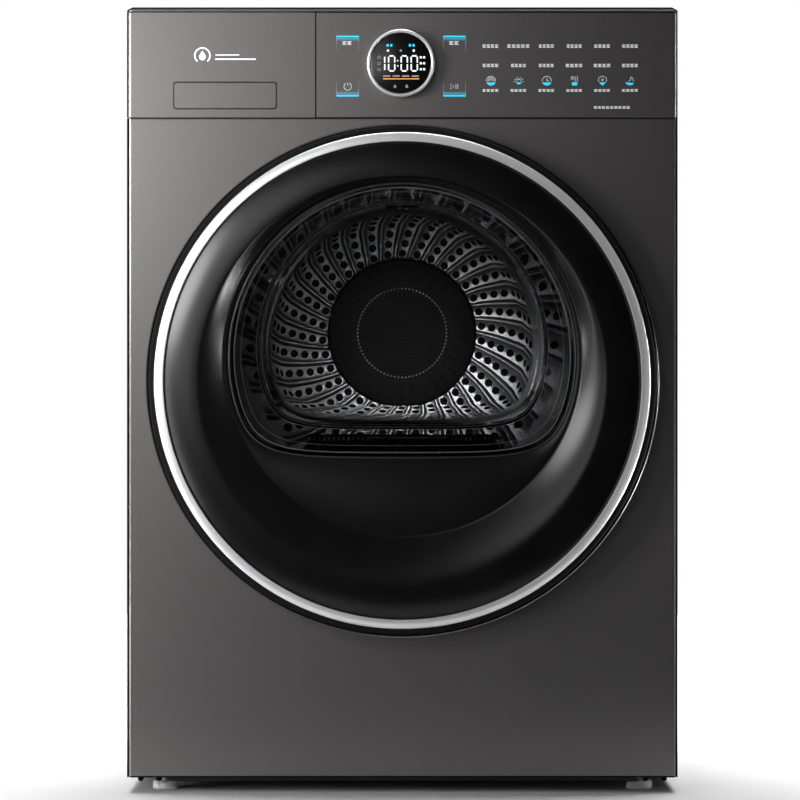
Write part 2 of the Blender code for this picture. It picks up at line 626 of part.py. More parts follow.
def make_drum():
    pivot = (0, DRUM_FRONT_Y, DRUM_Z)
    centre = (0, DRUM_Z)
    inner_r = DRUM_R - DRUM_WALL
    front, back = DRUM_FRONT_Y, DRUM_BACK_Y
    shell = [
        (DRUM_LIP_R, front), (DRUM_R - 6, front), (DRUM_R, front + 6), (DRUM_R, back), (inner_r, back),
        (inner_r, front + 6.6), (DRUM_R - 6.6, front + DRUM_WALL), (DRUM_LIP_R, front + DRUM_WALL),
    ]
    add("drum_shell", turned(shell, centre, "Y", BIG_N, True), "steel", pivot)
    rim = inner_r - GAP
    rear = [(92, 240), (118, 248.5), (278, 250), (rim, 250), (rim, 257.5), (rim - 1.7, 257.5),
            (rim - 1.7, 252), (118, 250.5), (92, 242)]
    add("drum_rear_wall", turned(rear, centre, "Y", BIG_N), "steel", pivot)
    hub = [(84, 233), (87.2, 235), (87.2, 239.7)]
    add("drum_hub_cover", turned(hub, centre, "Y", MID_N), "dark_plastic", pivot)
    shaft = [(60, 242.3), (60, 247), (14, 251), (10, 255), (10, 303)]
    add("drum_shaft", turned(shaft, centre, "Y", SMALL_N), "steel", pivot)
    make_lifters(pivot)


def make_lifters(pivot):
    foot_r, top_r, half_foot = 282.2, 235.0, 35.0
    section = [
        (foot_r, -half_foot), (foot_r, half_foot), (250, 14), (238, 8), (top_r, 0), (238, -8), (250, -14),
    ]
    for index, degrees in enumerate((90, 210, 330), start=1):
        angle = math.radians(degrees)
        out, up = math.cos(angle), math.sin(angle)
        outline = [(r * out - t * up, DRUM_Z + r * up + t * out) for r, t in section]
        add("drum_lifter_%d" % index, prism(outline, "Y", -130, 246), "grey_plastic", pivot)


def make_rear_bearing():
    profile = [(10.35, 262), (22, 262), (22, 276), (32, 279), (32, SIDE_BACK_Y), (10.35, SIDE_BACK_Y)]
    add("rear_bearing", turned(profile, (0, DRUM_Z), "Y", SMALL_N, True), "cast")


def make_support_rollers():
    profile = [(5.35, ROLLER_Y0), (ROLLER_R, ROLLER_Y0), (ROLLER_R, ROLLER_Y1), (5.35, ROLLER_Y1)]
    for name, (x, z) in roller_places().items():
        add(name, turned(profile, (x, z), "Y", 24, True), "rubber", (x, ROLLER_Y0, z))


# ---------------------------------------------------------------- drive


def belt_edge(side):
    """One edge of the belt's path round the drum, the motor pulley and the idler."""
    half = BELT_T / 2
    inside = BELT_GAP + half
    wheels = [
        (0, DRUM_Z, DRUM_R + 0.4 + inside, 44), (IDLER_X, IDLER_Z, -(IDLER_R + inside), 5),
        (MOTOR_X, MOTOR_Z, PULLEY_R + inside, 8),
    ]
    directions = []
    for index, (x, z, radius, _) in enumerate(wheels):
        next_x, next_z, next_radius, _ = wheels[(index + 1) % len(wheels)]
        run = math.atan2(next_z - z, next_x - x)
        length = math.hypot(next_x - x, next_z - z)
        directions.append(run - math.asin((next_radius - radius) / length))
    points = []
    for index, (x, z, radius, steps) in enumerate(wheels):
        begin, end = directions[index - 1], directions[index]
        turn = (end - begin) % (2 * math.pi)
        if radius < 0:
            turn -= 2 * math.pi
        for step in range(steps + 1):
            heading = begin + turn * step / steps
            reach = radius + side * half
            points.append((x + reach * math.sin(heading), z - reach * math.cos(heading)))
    return points


def make_drum_belt():
    across, up, along = BASES["Y"]
    inner, outer = belt_edge(-1), belt_edge(1)
    levels = ((inner, BELT_Y0), (outer, BELT_Y0), (outer, BELT_Y1), (inner, BELT_Y1))
    rings = [[across * a + up * b + along * h for a, b in edge] for edge, h in levels]
    add("drum_belt", loft(rings, True), "rubber")


def make_motor():
    centre = (MOTOR_X, MOTOR_Z)
    pivot = (MOTOR_X, 0, MOTOR_Z)
    can = [(6.4, -46), (50, -44), (58, -34), (58, 94), (50, 104), (6.4, 106)]
    housing = turned(can, centre, "Y", 28, True)
    bracket = box(MOTOR_X - 30, MOTOR_X + 30, -20, 80, ON_TRAY_Z, 62)
    add("motor_housing", join(housing, bracket), "cast")
    shaft = [(5.5, -128), (5.5, 114), (8.5, 114), (8.5, 116.5), (PULLEY_R, 117), (PULLEY_R, 131),
             (8.5, 131.5), (8.5, 133)]
    add("motor_shaft", turned(shaft, centre, "Y", SMALL_N), "steel", pivot)


def make_fan():
    """Centrifugal impeller on the motor shaft, and the casing round it."""
    blades, hub_r, tip_r, bore_r = 10, 28, 72, 5.9
    star, disc, bore = [], [], []
    for i in range(blades):
        middle = 2 * math.pi * i / blades
        for radius, offset in ((hub_r, -4), (tip_r, -1.2), (tip_r, 1.2), (hub_r, 4)):
            angle = middle + math.radians(offset)
            for points, reach in ((star, radius), (disc, tip_r), (bore, bore_r)):
                points.append((MOTOR_X + reach * math.cos(angle), MOTOR_Z + reach * math.sin(angle)))
    levels = ((bore, -82), (disc, -82), (disc, -85), (star, -85), (star, -125), (bore, -125))
    rings = [[(x, y, z) for x, z in points] for points, y in levels]
    add("fan_impeller", loft(rings, True), "grey_plastic", (MOTOR_X, 0, MOTOR_Z))
    casing = [(50, -140), (86, -140), (86, -62), (14, -62), (14, -65), (83, -65), (83, -137), (50, -137)]
    add("fan_housing", turned(casing, (MOTOR_X, MOTOR_Z), "Y", 28, True), "grey_plastic")


def make_idler():
    pivot = (IDLER_PIVOT_X, 138, IDLER_PIVOT_Z)
    run = math.atan2(IDLER_Z - IDLER_PIVOT_Z, IDLER_X - IDLER_PIVOT_X)
    outline = arc(IDLER_PIVOT_X, IDLER_PIVOT_Z, 9, run + math.pi / 2, run + 1.5 * math.pi, 6)
    outline += arc(IDLER_X, IDLER_Z, 8, run - math.pi / 2, run + math.pi / 2, 6)
    arm = prism(outline, "Y", 135, 138)
    stud = turned([(4, 119), (4, 136)], (IDLER_X, IDLER_Z), "Y", 12)
    boss = turned([(6, 137), (6, 148)], (IDLER_PIVOT_X, IDLER_PIVOT_Z), "Y", 12)
    add("idler_arm", join(arm, stud, boss), "steel", pivot)
    wheel = [(4.35, BELT_Y0 - 1), (IDLER_R, BELT_Y0 - 1), (IDLER_R, BELT_Y1 + 2), (4.35, BELT_Y1 + 2)]
    add("idler_pulley", turned(wheel, (IDLER_X, IDLER_Z), "Y", SMALL_N, True), "dark_plastic",
        (IDLER_X, BELT_Y0, IDLER_Z))


# ---------------------------------------------------------------- air path and heat pump


def make_filter_duct():
    outer = [(-116, -209), (116, -209), (116, -183), (-116, -183)]
    inner = [(-108, -207.3), (108, -207.3), (108, -184.7), (-108, -184.7)]
    levels = ((outer, 64), (outer, 366), (inner, 366), (inner, 64))
    add("filter_duct", loft([[(x, y, z) for x, y in shape] for shape, z in levels], True), "grey_plastic")


def make_lint_filters():
    outer = cup(-105, 105, -206.5, -185.5, 215, 380, 1.5, "+Z")
    add("lint_filter_outer", outer, "dark_plastic", (0, -196, 215))
    inner = cup(-102.8, 102.8, -204.3, -187.7, 217, 386, 1.5, "+Z")
    add("lint_filter_inner", inner, "white_plastic", (0, -196, 217))


def make_heat_pump():
    compressor = [(45, ON_TRAY_Z), (57, 28), (58, 40), (58, 190), (50, 206), (22, 214)]
    add("compressor", turned(compressor, (215, 212), "Z", 24), "cast")
    outline = [
        (-150, ON_TRAY_Z), (140, ON_TRAY_Z), (140, 190), (10, 190),
        (10, 40), (-14, 40), (-14, 190), (-150, 190),
    ]
    add("heat_exchanger", prism(outline, "X", -270, -60), "fins")
    pump = [(32, ON_TRAY_Z), (32, 70), (20, 74), (20, 115)]
    add("condensate_pump", turned(pump, (-215, 215), "Z", SMALL_N), "dark_plastic")


def main():
    for thing in list(bpy.data.objects):
        bpy.data.objects.remove(thing)
    make_top_cover()
    make_side_panels()
    make_front_panel()
    make_rear_panel()
    make_rear_duct_cover()
    make_base_tray()
    make_feet()
    make_power_inlet_gland()
    make_control_panel()
    make_selector()
    make_control_box()
    make_drawer_front()
    make_grip_flap()
    make_water_tank()
    make_tank_housing()
    make_loading_surround()
    make_door_seal()
    make_latch()
    make_hinge()
    make_door_frame()
    make_door_trim_ring()
    make_door_fascia()
    make_door_glazing()
    make_door_inner_frame()
    make_front_bulkhead()
    make_drum_front_seal()
    make_drum()
    make_rear_bearing()
    make_support_rollers()
    make_drum_belt()
    make_motor()
    make_fan()
    make_idler()
    make_filter_duct()
    make_lint_filters()
    make_heat_pump()


main()
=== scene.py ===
"""Looks of the clothes dryer: fine surfaces, materials, display, lights and camera.

Lengths are millimetres, multiplied by MM where Blender needs metres. The front faces -Y.
"""

import json
import math

import bmesh
import bpy
from mathutils import Matrix, Vector


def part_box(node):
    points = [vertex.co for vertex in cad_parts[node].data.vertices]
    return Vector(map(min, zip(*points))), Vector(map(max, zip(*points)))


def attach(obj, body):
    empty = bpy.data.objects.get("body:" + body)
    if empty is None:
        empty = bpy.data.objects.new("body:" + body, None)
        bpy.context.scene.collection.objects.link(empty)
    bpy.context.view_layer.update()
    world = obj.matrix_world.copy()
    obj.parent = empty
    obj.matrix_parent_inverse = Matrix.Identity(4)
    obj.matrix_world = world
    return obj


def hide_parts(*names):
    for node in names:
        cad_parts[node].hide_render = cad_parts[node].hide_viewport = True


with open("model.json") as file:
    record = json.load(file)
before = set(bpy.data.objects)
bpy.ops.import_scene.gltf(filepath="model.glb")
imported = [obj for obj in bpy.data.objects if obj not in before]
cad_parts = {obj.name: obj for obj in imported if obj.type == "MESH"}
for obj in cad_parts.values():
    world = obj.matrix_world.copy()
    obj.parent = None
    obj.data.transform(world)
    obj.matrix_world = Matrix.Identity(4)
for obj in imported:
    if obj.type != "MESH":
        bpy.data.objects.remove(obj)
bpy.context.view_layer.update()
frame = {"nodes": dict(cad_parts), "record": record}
nodes = frame["nodes"]

MM = 0.001
SKIN_DROP = 3.0  # how far the pressed front reaches below the plain CAD panel


def reach(node):
    """A CAD node's lowest and highest corner in millimetres."""
    low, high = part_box(node)
    return low / MM, high / MM


# ---- sizes read from the frame

panel_low, panel_high = reach("front_panel")
HALF_WIDTH = panel_high.x
PANEL_Y, PANEL_BACK_Y = panel_low.y, panel_high.y
PANEL_BOTTOM_Z, PANEL_TOP_Z = panel_low.z - SKIN_DROP, panel_high.z
control_low, control_high = reach("control_panel")
CONTROL_LEFT_X, CONTROL_BOTTOM_Z, CONTROL_TOP_Z = control_low.x, control_low.z, control_high.z
drawer_low, drawer_high = reach("drawer_front")
FASCIA_Y = drawer_low.y
ring_low, ring_high = reach("selector_ring")
SELECTOR_X, SELECTOR_Z = (ring_low.x + ring_high.x) / 2, (ring_low.z + ring_high.z) / 2
SELECTOR_R, SELECTOR_Y0, SELECTOR_Y1 = (ring_high.x - ring_low.x) / 2, ring_low.y, ring_high.y
lens_low, lens_high = reach("display_lens")
LENS_R, LENS_Y = (lens_high.x - lens_low.x) / 2, lens_low.y
trim_low, trim_high = reach("door_trim_ring")
DOOR_Z, TRIM_R = (trim_low.z + trim_high.z) / 2, (trim_high.z - trim_low.z) / 2
DOOR_FRONT_Y, TRIM_BACK_Y = trim_low.y, trim_high.y
rim_low, rim_high = reach("door_frame")
RIM_R, RIM_FRONT_Y, RIM_BACK_Y = (rim_high.z - rim_low.z) / 2, rim_low.y, rim_high.y
fascia_low, fascia_high = reach("door_fascia")
FASCIA_R, DISH_FACE_Y = (fascia_high.z - fascia_low.z) / 2, fascia_low.y
drum_low, drum_high = reach("drum_shell")
DRUM_Z, DRUM_R = (drum_low.z + drum_high.z) / 2, (drum_high.x - drum_low.x) / 2
DRUM_FRONT_Y, DRUM_BACK_Y = drum_low.y, drum_high.y
BOWL_BACK_Y = reach("door_bowl")[1].y
FILTER_LOW, FILTER_HIGH = reach("lint_filter_inner")

HOLE_R = RIM_R + 2
TRIM_WIDTH = 10.0
DISH_R = 221.0
DISH_FLOOR_Y, DISH_FLOOR_Z, DISH_FLOOR_R = -292.5, 471.5, 194.0
WINDOW_Z, WINDOW_R, WINDOW_BOTTOM_Z = 471.7, 188.4, 361.6
BOWL_Z, BOWL_R, BOWL_BOTTOM_Z, BOWL_MOUTH_Z = 484.6, 157.0, 395.6, 473
MOUTH_Z = 478.0
HINGE = (264.0, -296.0)
FINE = 240  # sides of the large round pieces
SHADE_STRIP_INSIDE, SHADE_STRIP_OUTSIDE = 1.7, 0.7  # reach of the painted shade strips each way from the body's side
MARK = (FASCIA_Y - 0.12, FASCIA_Y + 0.1)  # front and back of the console's printed marks

SKY_FRONT, SKY_TOP = 0.004, 0.06
LIGHTS = (  # name, place, target, size, power, spread in degrees
    ("front_left", (-950, -2000, 1050), (-500, PANEL_Y, 800), (1400, 1500), 1.6, 70),
    ("near_left", (-700, -700, 400), (-300, PANEL_Y, 400), (150, 700), 0.35, 90),
    ("near_left_low", (-700, -700, 150), (-300, PANEL_Y, 150), (150, 250), 0.48, 90),
    ("near_left_top", (-760, -880, 780), (-300, PANEL_Y, 760), (480, 420), 2.5, 90),
    ("edge_left", (-2500, -410, 450), (0, -410, 450), (160, 1500), 0.5, 16),
    ("edge_right", (2500, -410, 450), (0, -410, 450), (160, 1500), 0.7, 16),
    ("floor_right", (900, -330, 25), (-200, -290, 600), (1100, 100), 1.0, 46),
    ("floor_back", (0, 2400, 2700), (0, 2400, 0), (6000, 5400), 205, 56),
    ("drum_lamp", (15, -175, 450), (5, 240, 475), (70, 70), 0.09, 56),
)
FLOOR_CENTRE_Y, FLOOR_R = 1650, 2300

# ---- mesh helpers


def polar(radius, angle, cz, cx=0.0):
    return cx + radius * math.cos(angle), cz + radius * math.sin(angle)


def arc(cx, cz, radius, start, end, steps):
    """Points on an arc between two angles in degrees."""
    return [polar(radius, math.radians(start + (end - start) * i / steps), cz, cx) for i in range(steps + 1)]


def circle(cx, cz, radius, y, count=FINE):
    return [(x, y, z) for x, z in arc(cx, cz, radius, 0, 360, count)[:-1]]


def d_ring(radius, centre_z, bottom_z, y, count=FINE):
    """A circle whose bottom is blended into a level line at bottom_z."""
    blend = 8
    ring = []
    for i in range(count):
        angle = 2 * math.pi * i / count
        down = -math.sin(angle)
        length = radius
        if down > 0.01:
            floor = (centre_z - bottom_z) / down
            length = (radius ** -blend + floor ** -blend) ** (-1 / blend)
        ring.append((length * math.cos(angle), y, centre_z + length * math.sin(angle)))
    return ring


def mix_rings(first, second, share):
    """The ring that lies a share of the way from the first to the second."""
    return [tuple(a + (b - a) * share for a, b in zip(p, q)) for p, q in zip(first, second)]


def rounded(a0, a1, b0, b1, radius, steps=6):
    """A rectangle's outline with round corners, in any two coordinates."""
    corners = ((a1, b1, -1, -1), (a0, b1, 1, -1), (a0, b0, 1, 1), (a1, b0, -1, 1))
    points = []
    for index, (a, b, sa, sb) in enumerate(corners):
        points += arc(a + sa * radius, b + sb * radius, radius, index * 90, index * 90 + 90, steps)
    return points


def loft(rings, closed=False, caps=True, into=None):
    """Skin a row of equal rings, into a new mesh or one that is being collected."""
    bm = into or bmesh.new()
    loops = [[bm.verts.new(Vector(point) * MM) for point in ring] for ring in rings]
    pairs = list(zip(loops, loops[1:]))
    if closed:
        pairs.append((loops[-1], loops[0]))
    count = len(loops[0])
    for first, second in pairs:
        for i in range(count):
            j = (i + 1) % count
            bm.faces.new((first[i], first[j], second[j], second[i]))
    if caps and not closed:
        bm.faces.new(loops[0])
        bm.faces.new(loops[-1])
    return bm


def turned(profile, centre, count=FINE, closed=True, axis="Y", into=None):
    """Turn a (radius, height) profile about an axis along Y or Z."""
    rings = []
    for radius, height in profile:
        points = arc(centre[0], centre[1], radius, 0, 360, count)[:-1]
        rings.append([(a, height, b) if axis == "Y" else (a, b, height) for a, b in points])
    return loft(rings, closed, into=into)


def prism(outline, start, end, axis="Y", into=None):
    """Extrude an outline along an axis; the outline holds the other two coordinates in XYZ order."""
    at = "XYZ".index(axis)
    rings = [[pair[:at] + (height,) + pair[at:] for pair in map(tuple, outline)] for height in (start, end)]
    return loft(rings, into=into)


def box(x0, x1, y0, y1, z0, z1, into=None):
    return prism([(x0, z0), (x1, z0), (x1, z1), (x0, z1)], y0, y1, into=into)


def ribbon(path, width, y0, y1, closed=False, into=None):
    """A flat line of even width along a path of (x, z) points."""
    rings = []
    last = len(path) - 1
    for i, (x, z) in enumerate(path):
        before = path[i - 1] if i or closed else path[i]
        after = path[(i + 1) % len(path)] if i < last or closed else path[i]
        run = Vector((after[0] - before[0], after[1] - before[1])).normalized() * width / 2
        rings.append([(x - run.y, y0, z + run.x), (x + run.y, y0, z - run.x),
                      (x + run.y, y1, z - run.x), (x - run.y, y1, z + run.x)])
    return loft(rings, closed, into=into)


def add_object(name, data):
    thing = bpy.data.objects.new(name, data)
    bpy.context.scene.collection.objects.link(thing)
    return thing


def make_mesh(name, shape):
    """Turn a finished shape into a mesh with its normals outward."""
    mesh = bpy.data.meshes.new(name)
    bmesh.ops.recalc_face_normals(shape, faces=shape.faces)
    shape.to_mesh(mesh)
    shape.free()
    return mesh


def boolean(base, tool, operation="DIFFERENCE"):
    """Cut one shape with another, or join them."""
    pair = [add_object("work", make_mesh("work", shape)) for shape in (base, tool)]
    modifier = pair[0].modifiers.new("boolean", "BOOLEAN")
    modifier.operation = operation
    modifier.solver = "EXACT"
    modifier.object = pair[1]
    result = bmesh.new()
    result.from_object(pair[0], bpy.context.evaluated_depsgraph_get())
    for work in pair:
        bpy.data.objects.remove(work)
    return result


def piece(name, shape, body, material, replaced=(), smooth=30, bevel=0.0, even=False):
    """Make a piece from a mesh, ride it on its body and hide the CAD nodes that it replaces."""
    mesh = make_mesh(name, shape)
    mesh.shade_smooth()
    mesh.set_sharp_from_angle(angle=math.radians(smooth))
    mesh.materials.append(material)
    thing = add_object(name, mesh)
    if bevel:
        soften(thing, bevel)
    if even:
        flatten_normals(thing)
    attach(thing, body)
    if replaced:
        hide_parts(*replaced)
    return thing


def soften(thing, width, segments=2):
    """Round the sharp edges a little, so that they catch the light."""
    bevel = thing.modifiers.new("Bevel", "BEVEL")
    bevel.width = width * MM
    bevel.segments = segments
    bevel.limit_method = "ANGLE"
    bevel.angle_limit = math.radians(40)


def flatten_normals(thing):
    """Keep large flat faces evenly shaded next to rounded ones."""
    normals = thing.modifiers.new("Normals", "WEIGHTED_NORMAL")
    normals.weight = 100
    normals.keep_sharp = True


# ---- materials


def new_node(tree, kind, values=None):
    """A shader node with some of its inputs set."""
    node = tree.nodes.new("ShaderNode" + kind)
    set_inputs(node, values or {})
    return node


def set_inputs(node, values):
    for socket, value in values.items():
        node.inputs[socket].default_value = value


def feed(output, node, socket):
    """Link an output to one of a node's inputs."""
    node.id_data.links.new(output, node.inputs[socket])


def link(source, output, node, socket):
    feed(source.outputs[output], node, socket)


def shader_of(material):
    return material.node_tree.nodes["Principled BSDF"]


def new_material(name, colour, roughness, metallic=0.0, specular=0.5):
    """A Principled material with plain values."""
    material = bpy.data.materials.new(name)
    material.use_nodes = True
    set_inputs(shader_of(material), {"Base Color": (*colour, 1), "Roughness": roughness,
                                     "Metallic": metallic, "Specular IOR Level": specular})
    return material


def add_noise(material, scale, detail=4.0, stretch=(1, 1, 1)):
    """A noise texture in object space; returns its factor socket."""
    tree = material.node_tree
    mapping = new_node(tree, "Mapping", {"Scale": stretch})
    noise = new_node(tree, "TexNoise", {"Scale": scale, "Detail": detail})
    link(new_node(tree, "TexCoord"), "Object", mapping, "Vector")
    link(mapping, "Vector", noise, "Vector")
    return noise.outputs["Fac"]


def vary_colour(material, factor, dark, light, low=0.3, high=0.7):
    """Base colour between two shades, as the factor goes from low to high."""
    ramp = new_node(material.node_tree, "ValToRGB")
    for stop, position, colour in zip(ramp.color_ramp.elements, (low, high), (dark, light)):
        stop.position = position
        stop.color = (*colour, 1)
    feed(factor, ramp, "Fac")
    link(ramp, "Color", shader_of(material), "Base Color")


def vary_roughness(material, factor, low, high):
    span = new_node(material.node_tree, "MapRange", {"To Min": low, "To Max": high})
    feed(factor, span, "Value")
    link(span, "Result", shader_of(material), "Roughness")


def add_bump(material, factor, strength, distance):
    bump = new_node(material.node_tree, "Bump", {"Strength": strength, "Distance": distance * MM})
    feed(factor, bump, "Height")
    link(bump, "Normal", shader_of(material), "Normal")


def scaled(colour, amount):
    return tuple(channel * amount for channel in colour)


def make_body_paint():
    """Dark warm-grey satin metallic paint with fine flakes."""
    colour = (0.212, 0.201, 0.200)
    material = new_material("body_paint", colour, 0.34, metallic=0.75)
    flakes = add_noise(material, 2600, 2)
    vary_colour(material, flakes, scaled(colour, 0.86), scaled(colour, 1.14))
    vary_roughness(material, add_noise(material, 9, 3), 0.32, 0.36)
    add_bump(material, add_noise(material, 420, 3), 0.04, 0.02)
    return material


def make_chrome():
    """Satin chrome with a faint brushed grain."""
    material = new_material("satin_chrome", (0.88, 0.88, 0.89), 0.28, metallic=0.5)
    vary_roughness(material, add_noise(material, 60, 5, (1, 40, 1)), 0.27, 0.29)
    vary_colour(material, add_noise(material, 14, 3), (0.86, 0.86, 0.87), (0.90, 0.90, 0.91))
    return material


def make_gloss_black():
    """The door's and the display's dark glossy plastic."""
    colour = (0.0045, 0.0045, 0.005)
    material = new_material("gloss_black", colour, 0.26, specular=0.4)
    vary_colour(material, add_noise(material, 30, 3), scaled(colour, 0.8), scaled(colour, 1.3))
    vary_roughness(material, add_noise(material, 12, 2), 0.25, 0.28)
    return material


def make_plastic(name, colour, roughness, grain=900):
    """Moulded plastic with a fine grain."""
    material = new_material(name, colour, roughness)
    grains = add_noise(material, grain, 3)
    vary_colour(material, add_noise(material, 40, 4), scaled(colour, 0.88), scaled(colour, 1.12))
    vary_roughness(material, grains, roughness - 0.05, roughness + 0.07)
    add_bump(material, grains, 0.15, 0.05)
    return material


def make_matt_black(name, value):
    material = new_material(name, (value, value, value), 0.7, specular=0.12)
    vary_roughness(material, add_noise(material, 40, 2), 0.64, 0.76)
    return material


def make_steel(name, colour, roughness, stretch):
    """Rolled sheet metal, with its rolling lines along one direction."""
    material = new_material(name, colour, roughness, metallic=1.0)
    lines = add_noise(material, 240, 5, stretch)
    vary_colour(material, lines, scaled(colour, 0.85), scaled(colour, 1.12))
    vary_roughness(material, lines, roughness - 0.06, roughness + 0.08)
    add_bump(material, lines, 0.05, 0.02)
    return material


def make_galvanised():
    """Zinc-coated sheet with its large pale spangle."""
    colour = (0.42, 0.43, 0.44)
    material = new_material("galvanised", colour, 0.42, metallic=0.9)
    tree = material.node_tree
    cells = new_node(tree, "TexVoronoi", {"Scale": 90})
    grey = new_node(tree, "RGBToBW")
    link(new_node(tree, "TexCoord"), "Object", cells, "Vector")
    link(cells, "Color", grey, "Color")
    vary_colour(material, grey.outputs["Val"], scaled(colour, 0.9), scaled(colour, 1.1), 0.2, 0.8)
    vary_roughness(material, grey.outputs["Val"], 0.36, 0.5)
    return material


def make_glass(name, tint, bending=1.45):
    """Clear or tinted glass; bending is its index of refraction."""
    material = new_material(name, tint, 0.0)
    set_inputs(shader_of(material), {"Transmission Weight": 1.0, "IOR": bending})
    vary_roughness(material, add_noise(material, 25, 3), 0.0, 0.02)
    return material


def make_felt():
    """Pale grey-brown pressed felt."""
    colour = (0.50, 0.47, 0.41)
    material = new_material("felt", colour, 0.95)
    fibres = add_noise(material, 700, 6)
    vary_colour(material, fibres, scaled(colour, 0.7), scaled(colour, 1.2))
    add_bump(material, fibres, 0.6, 0.3)
    return material


def make_light(name, colour, strength):
    """A printed or lit mark; it also draws the painted highlight along the door bowl's edges."""
    material = new_material(name, colour, 0.5)
    vary_colour(material, add_noise(material, 300, 2), scaled(colour, 0.94), colour)
    set_inputs(shader_of(material), {"Emission Color": (*colour, 1), "Emission Strength": strength})
    return material


paint = make_body_paint()
chrome = make_chrome()
gloss_black = make_gloss_black()
dark_plastic = make_plastic("dark_plastic", (0.022, 0.022, 0.023), 0.42)
# deep_black also draws painted shade: the strips at the body's side edges and cover rim, the drum's rear
# backing and the hub's holes
deep_black = make_matt_black("deep_black", 0.0015)
hub_black = make_matt_black("hub_black", 0.012)
rim_black = make_matt_black("rim_black", 0.005)
grey_plastic = make_plastic("grey_plastic", (0.16, 0.165, 0.17), 0.48)
foot_grey = make_plastic("foot_grey", (0.78, 0.78, 0.78), 0.45)
white_plastic = make_plastic("white_plastic", (0.68, 0.68, 0.66), 0.42)
rubber = make_plastic("rubber", (0.018, 0.018, 0.018), 0.72, 1500)
cast_black = make_plastic("cast_black", (0.035, 0.035, 0.036), 0.55, 500)
drum_steel = make_steel("drum_steel", (0.42, 0.42, 0.43), 0.30, (1, 1, 1))
part_steel = make_steel("part_steel", (0.52, 0.52, 0.53), 0.30, (1, 1, 12))
fins = make_steel("fins", (0.62, 0.63, 0.64), 0.35, (30, 1, 1))
galvanised = make_galvanised()
felt = make_felt()
pane_glass = make_glass("pane_glass", (0.78, 0.78, 0.79))
bowl_glass = make_glass("bowl_glass", (0.93, 0.94, 0.94))
# painted shade: the bowl's wall is the same glass as its floor, tinted dark to look shaded
bowl_wall_painted_shade_glass = make_glass("bowl_wall_painted_shade_glass", (0.27, 0.27, 0.28), 1.12)
mark_white = make_light("mark_white", (0.85, 0.86, 0.88), 0.75)
mark_pale = make_light("mark_pale", (0.72, 0.73, 0.75), 0.45)
mark_grey = make_light("mark_grey", (0.30, 0.31, 0.33), 0.25)
mark_cyan = make_light("mark_cyan", (0.02, 0.42, 0.62), 1.2)
# painted highlight: a glow that stands in for the shine along the door bowl's edges
painted_edge_highlight = make_light("painted_edge_highlight", (0.5, 0.5, 0.52), 0.22)
mark_orange = make_light("mark_orange", (0.70, 0.32, 0.08), 0.9)


# ---- carried-over CAD nodes

CARRIED = {  # slot: material, bevel and the nodes
    "body_paint": (paint, 0.5, "left_side_panel right_side_panel control_panel drawer_front "
                   "drawer_grip_flap"),
    "galvanised": (galvanised, 0.3, "rear_panel"),
    "dark_plastic": (dark_plastic, 0.6, "base_tray latch_housing front_bulkhead lint_filter_outer "
                     "idler_pulley condensate_pump"),
    "grey_plastic": (grey_plastic, 0.5, "tank_housing drum_lifter_1 drum_lifter_2 drum_lifter_3 "
                     "fan_housing fan_impeller filter_duct"),
    "white_plastic": (white_plastic, 0.5, "control_box water_tank"),
    "rubber": (rubber, 0.3, "power_inlet_gland support_roller_left support_roller_right drum_belt"),
    "felt": (felt, 0.3, "drum_front_seal"),
    "cast": (cast_black, 0.8, "rear_bearing motor_housing compressor"),
    "steel": (part_steel, 0.25, "drum_shaft motor_shaft idler_arm hinge_bracket hinge_leaf hinge_pin "
              "latch_hook grip_flap_pin grip_flap_spring"),
    "fins": (fins, 0.3, "heat_exchanger"),
}


def refine(node, body, material, bevel):
    """The CAD node's own shape, welded, with its edges rounded a little."""
    shape = bmesh.new()
    shape.from_mesh(nodes[node].data)
    bmesh.ops.remove_doubles(shape, verts=shape.verts, dist=0.000002)
    bmesh.ops.dissolve_limit(shape, angle_limit=math.radians(0.4), verts=shape.verts, edges=shape.edges)
    piece(node + "_fine", shape, body, material, [node], 32, bevel, even=True)


WIDE_EDGES = {"drawer_front": 0.9, "drawer_grip_flap": 0.9}


def refine_carried_nodes():
    bodies = frame["record"]["behaviour"]["bodies"]
    home = {node: body for body, names in bodies.items() for node in names}
    for slot, (material, bevel, names) in CARRIED.items():
        for node in names.split():
            refine(node, home[node], material, WIDE_EDGES.get(node, bevel))


# ---- cabinet


def make_front_panel():
    """The pressed front, with the round hole's edge rolled inward."""
    corner, sheet, fillet = 4.0, 1.5, 2.2
    outline = arc(-HALF_WIDTH + corner, PANEL_Y + corner, corner, 180, 270, 8)
    outline += arc(HALF_WIDTH - corner, PANEL_Y + corner, corner, 270, 360, 8)
    outline += [(HALF_WIDTH, PANEL_BACK_Y), (-HALF_WIDTH, PANEL_BACK_Y)]
    tray = prism(outline, PANEL_BOTTOM_Z, PANEL_TOP_Z, "Z")
    inside = HALF_WIDTH - sheet
    hollow = box(-inside, inside, PANEL_Y + sheet, 0, PANEL_BOTTOM_Z + sheet, PANEL_TOP_Z - sheet)
    tray = boolean(tray, hollow)
    lip = turned([(HOLE_R - 6, PANEL_Y + 0.8), (HOLE_R + 8, PANEL_Y + 0.8), (HOLE_R + 8, PANEL_Y + 10),
                  (HOLE_R - 6, PANEL_Y + 10)], (0, DOOR_Z))
    tray = boolean(tray, lip, "UNION")
    flare = [(HOLE_R + fillet + 0.01, PANEL_Y - 5)]
    flare += arc(HOLE_R + fillet, PANEL_Y + fillet, fillet, 270, 180, 8)
    flare.append((HOLE_R, PANEL_Y + 15))
    panel = boolean(tray, turned(flare, (0, DOOR_Z), closed=False))
    piece("front_panel_skin", panel, "cabinet", paint, ["front_panel"], 35, even=True)


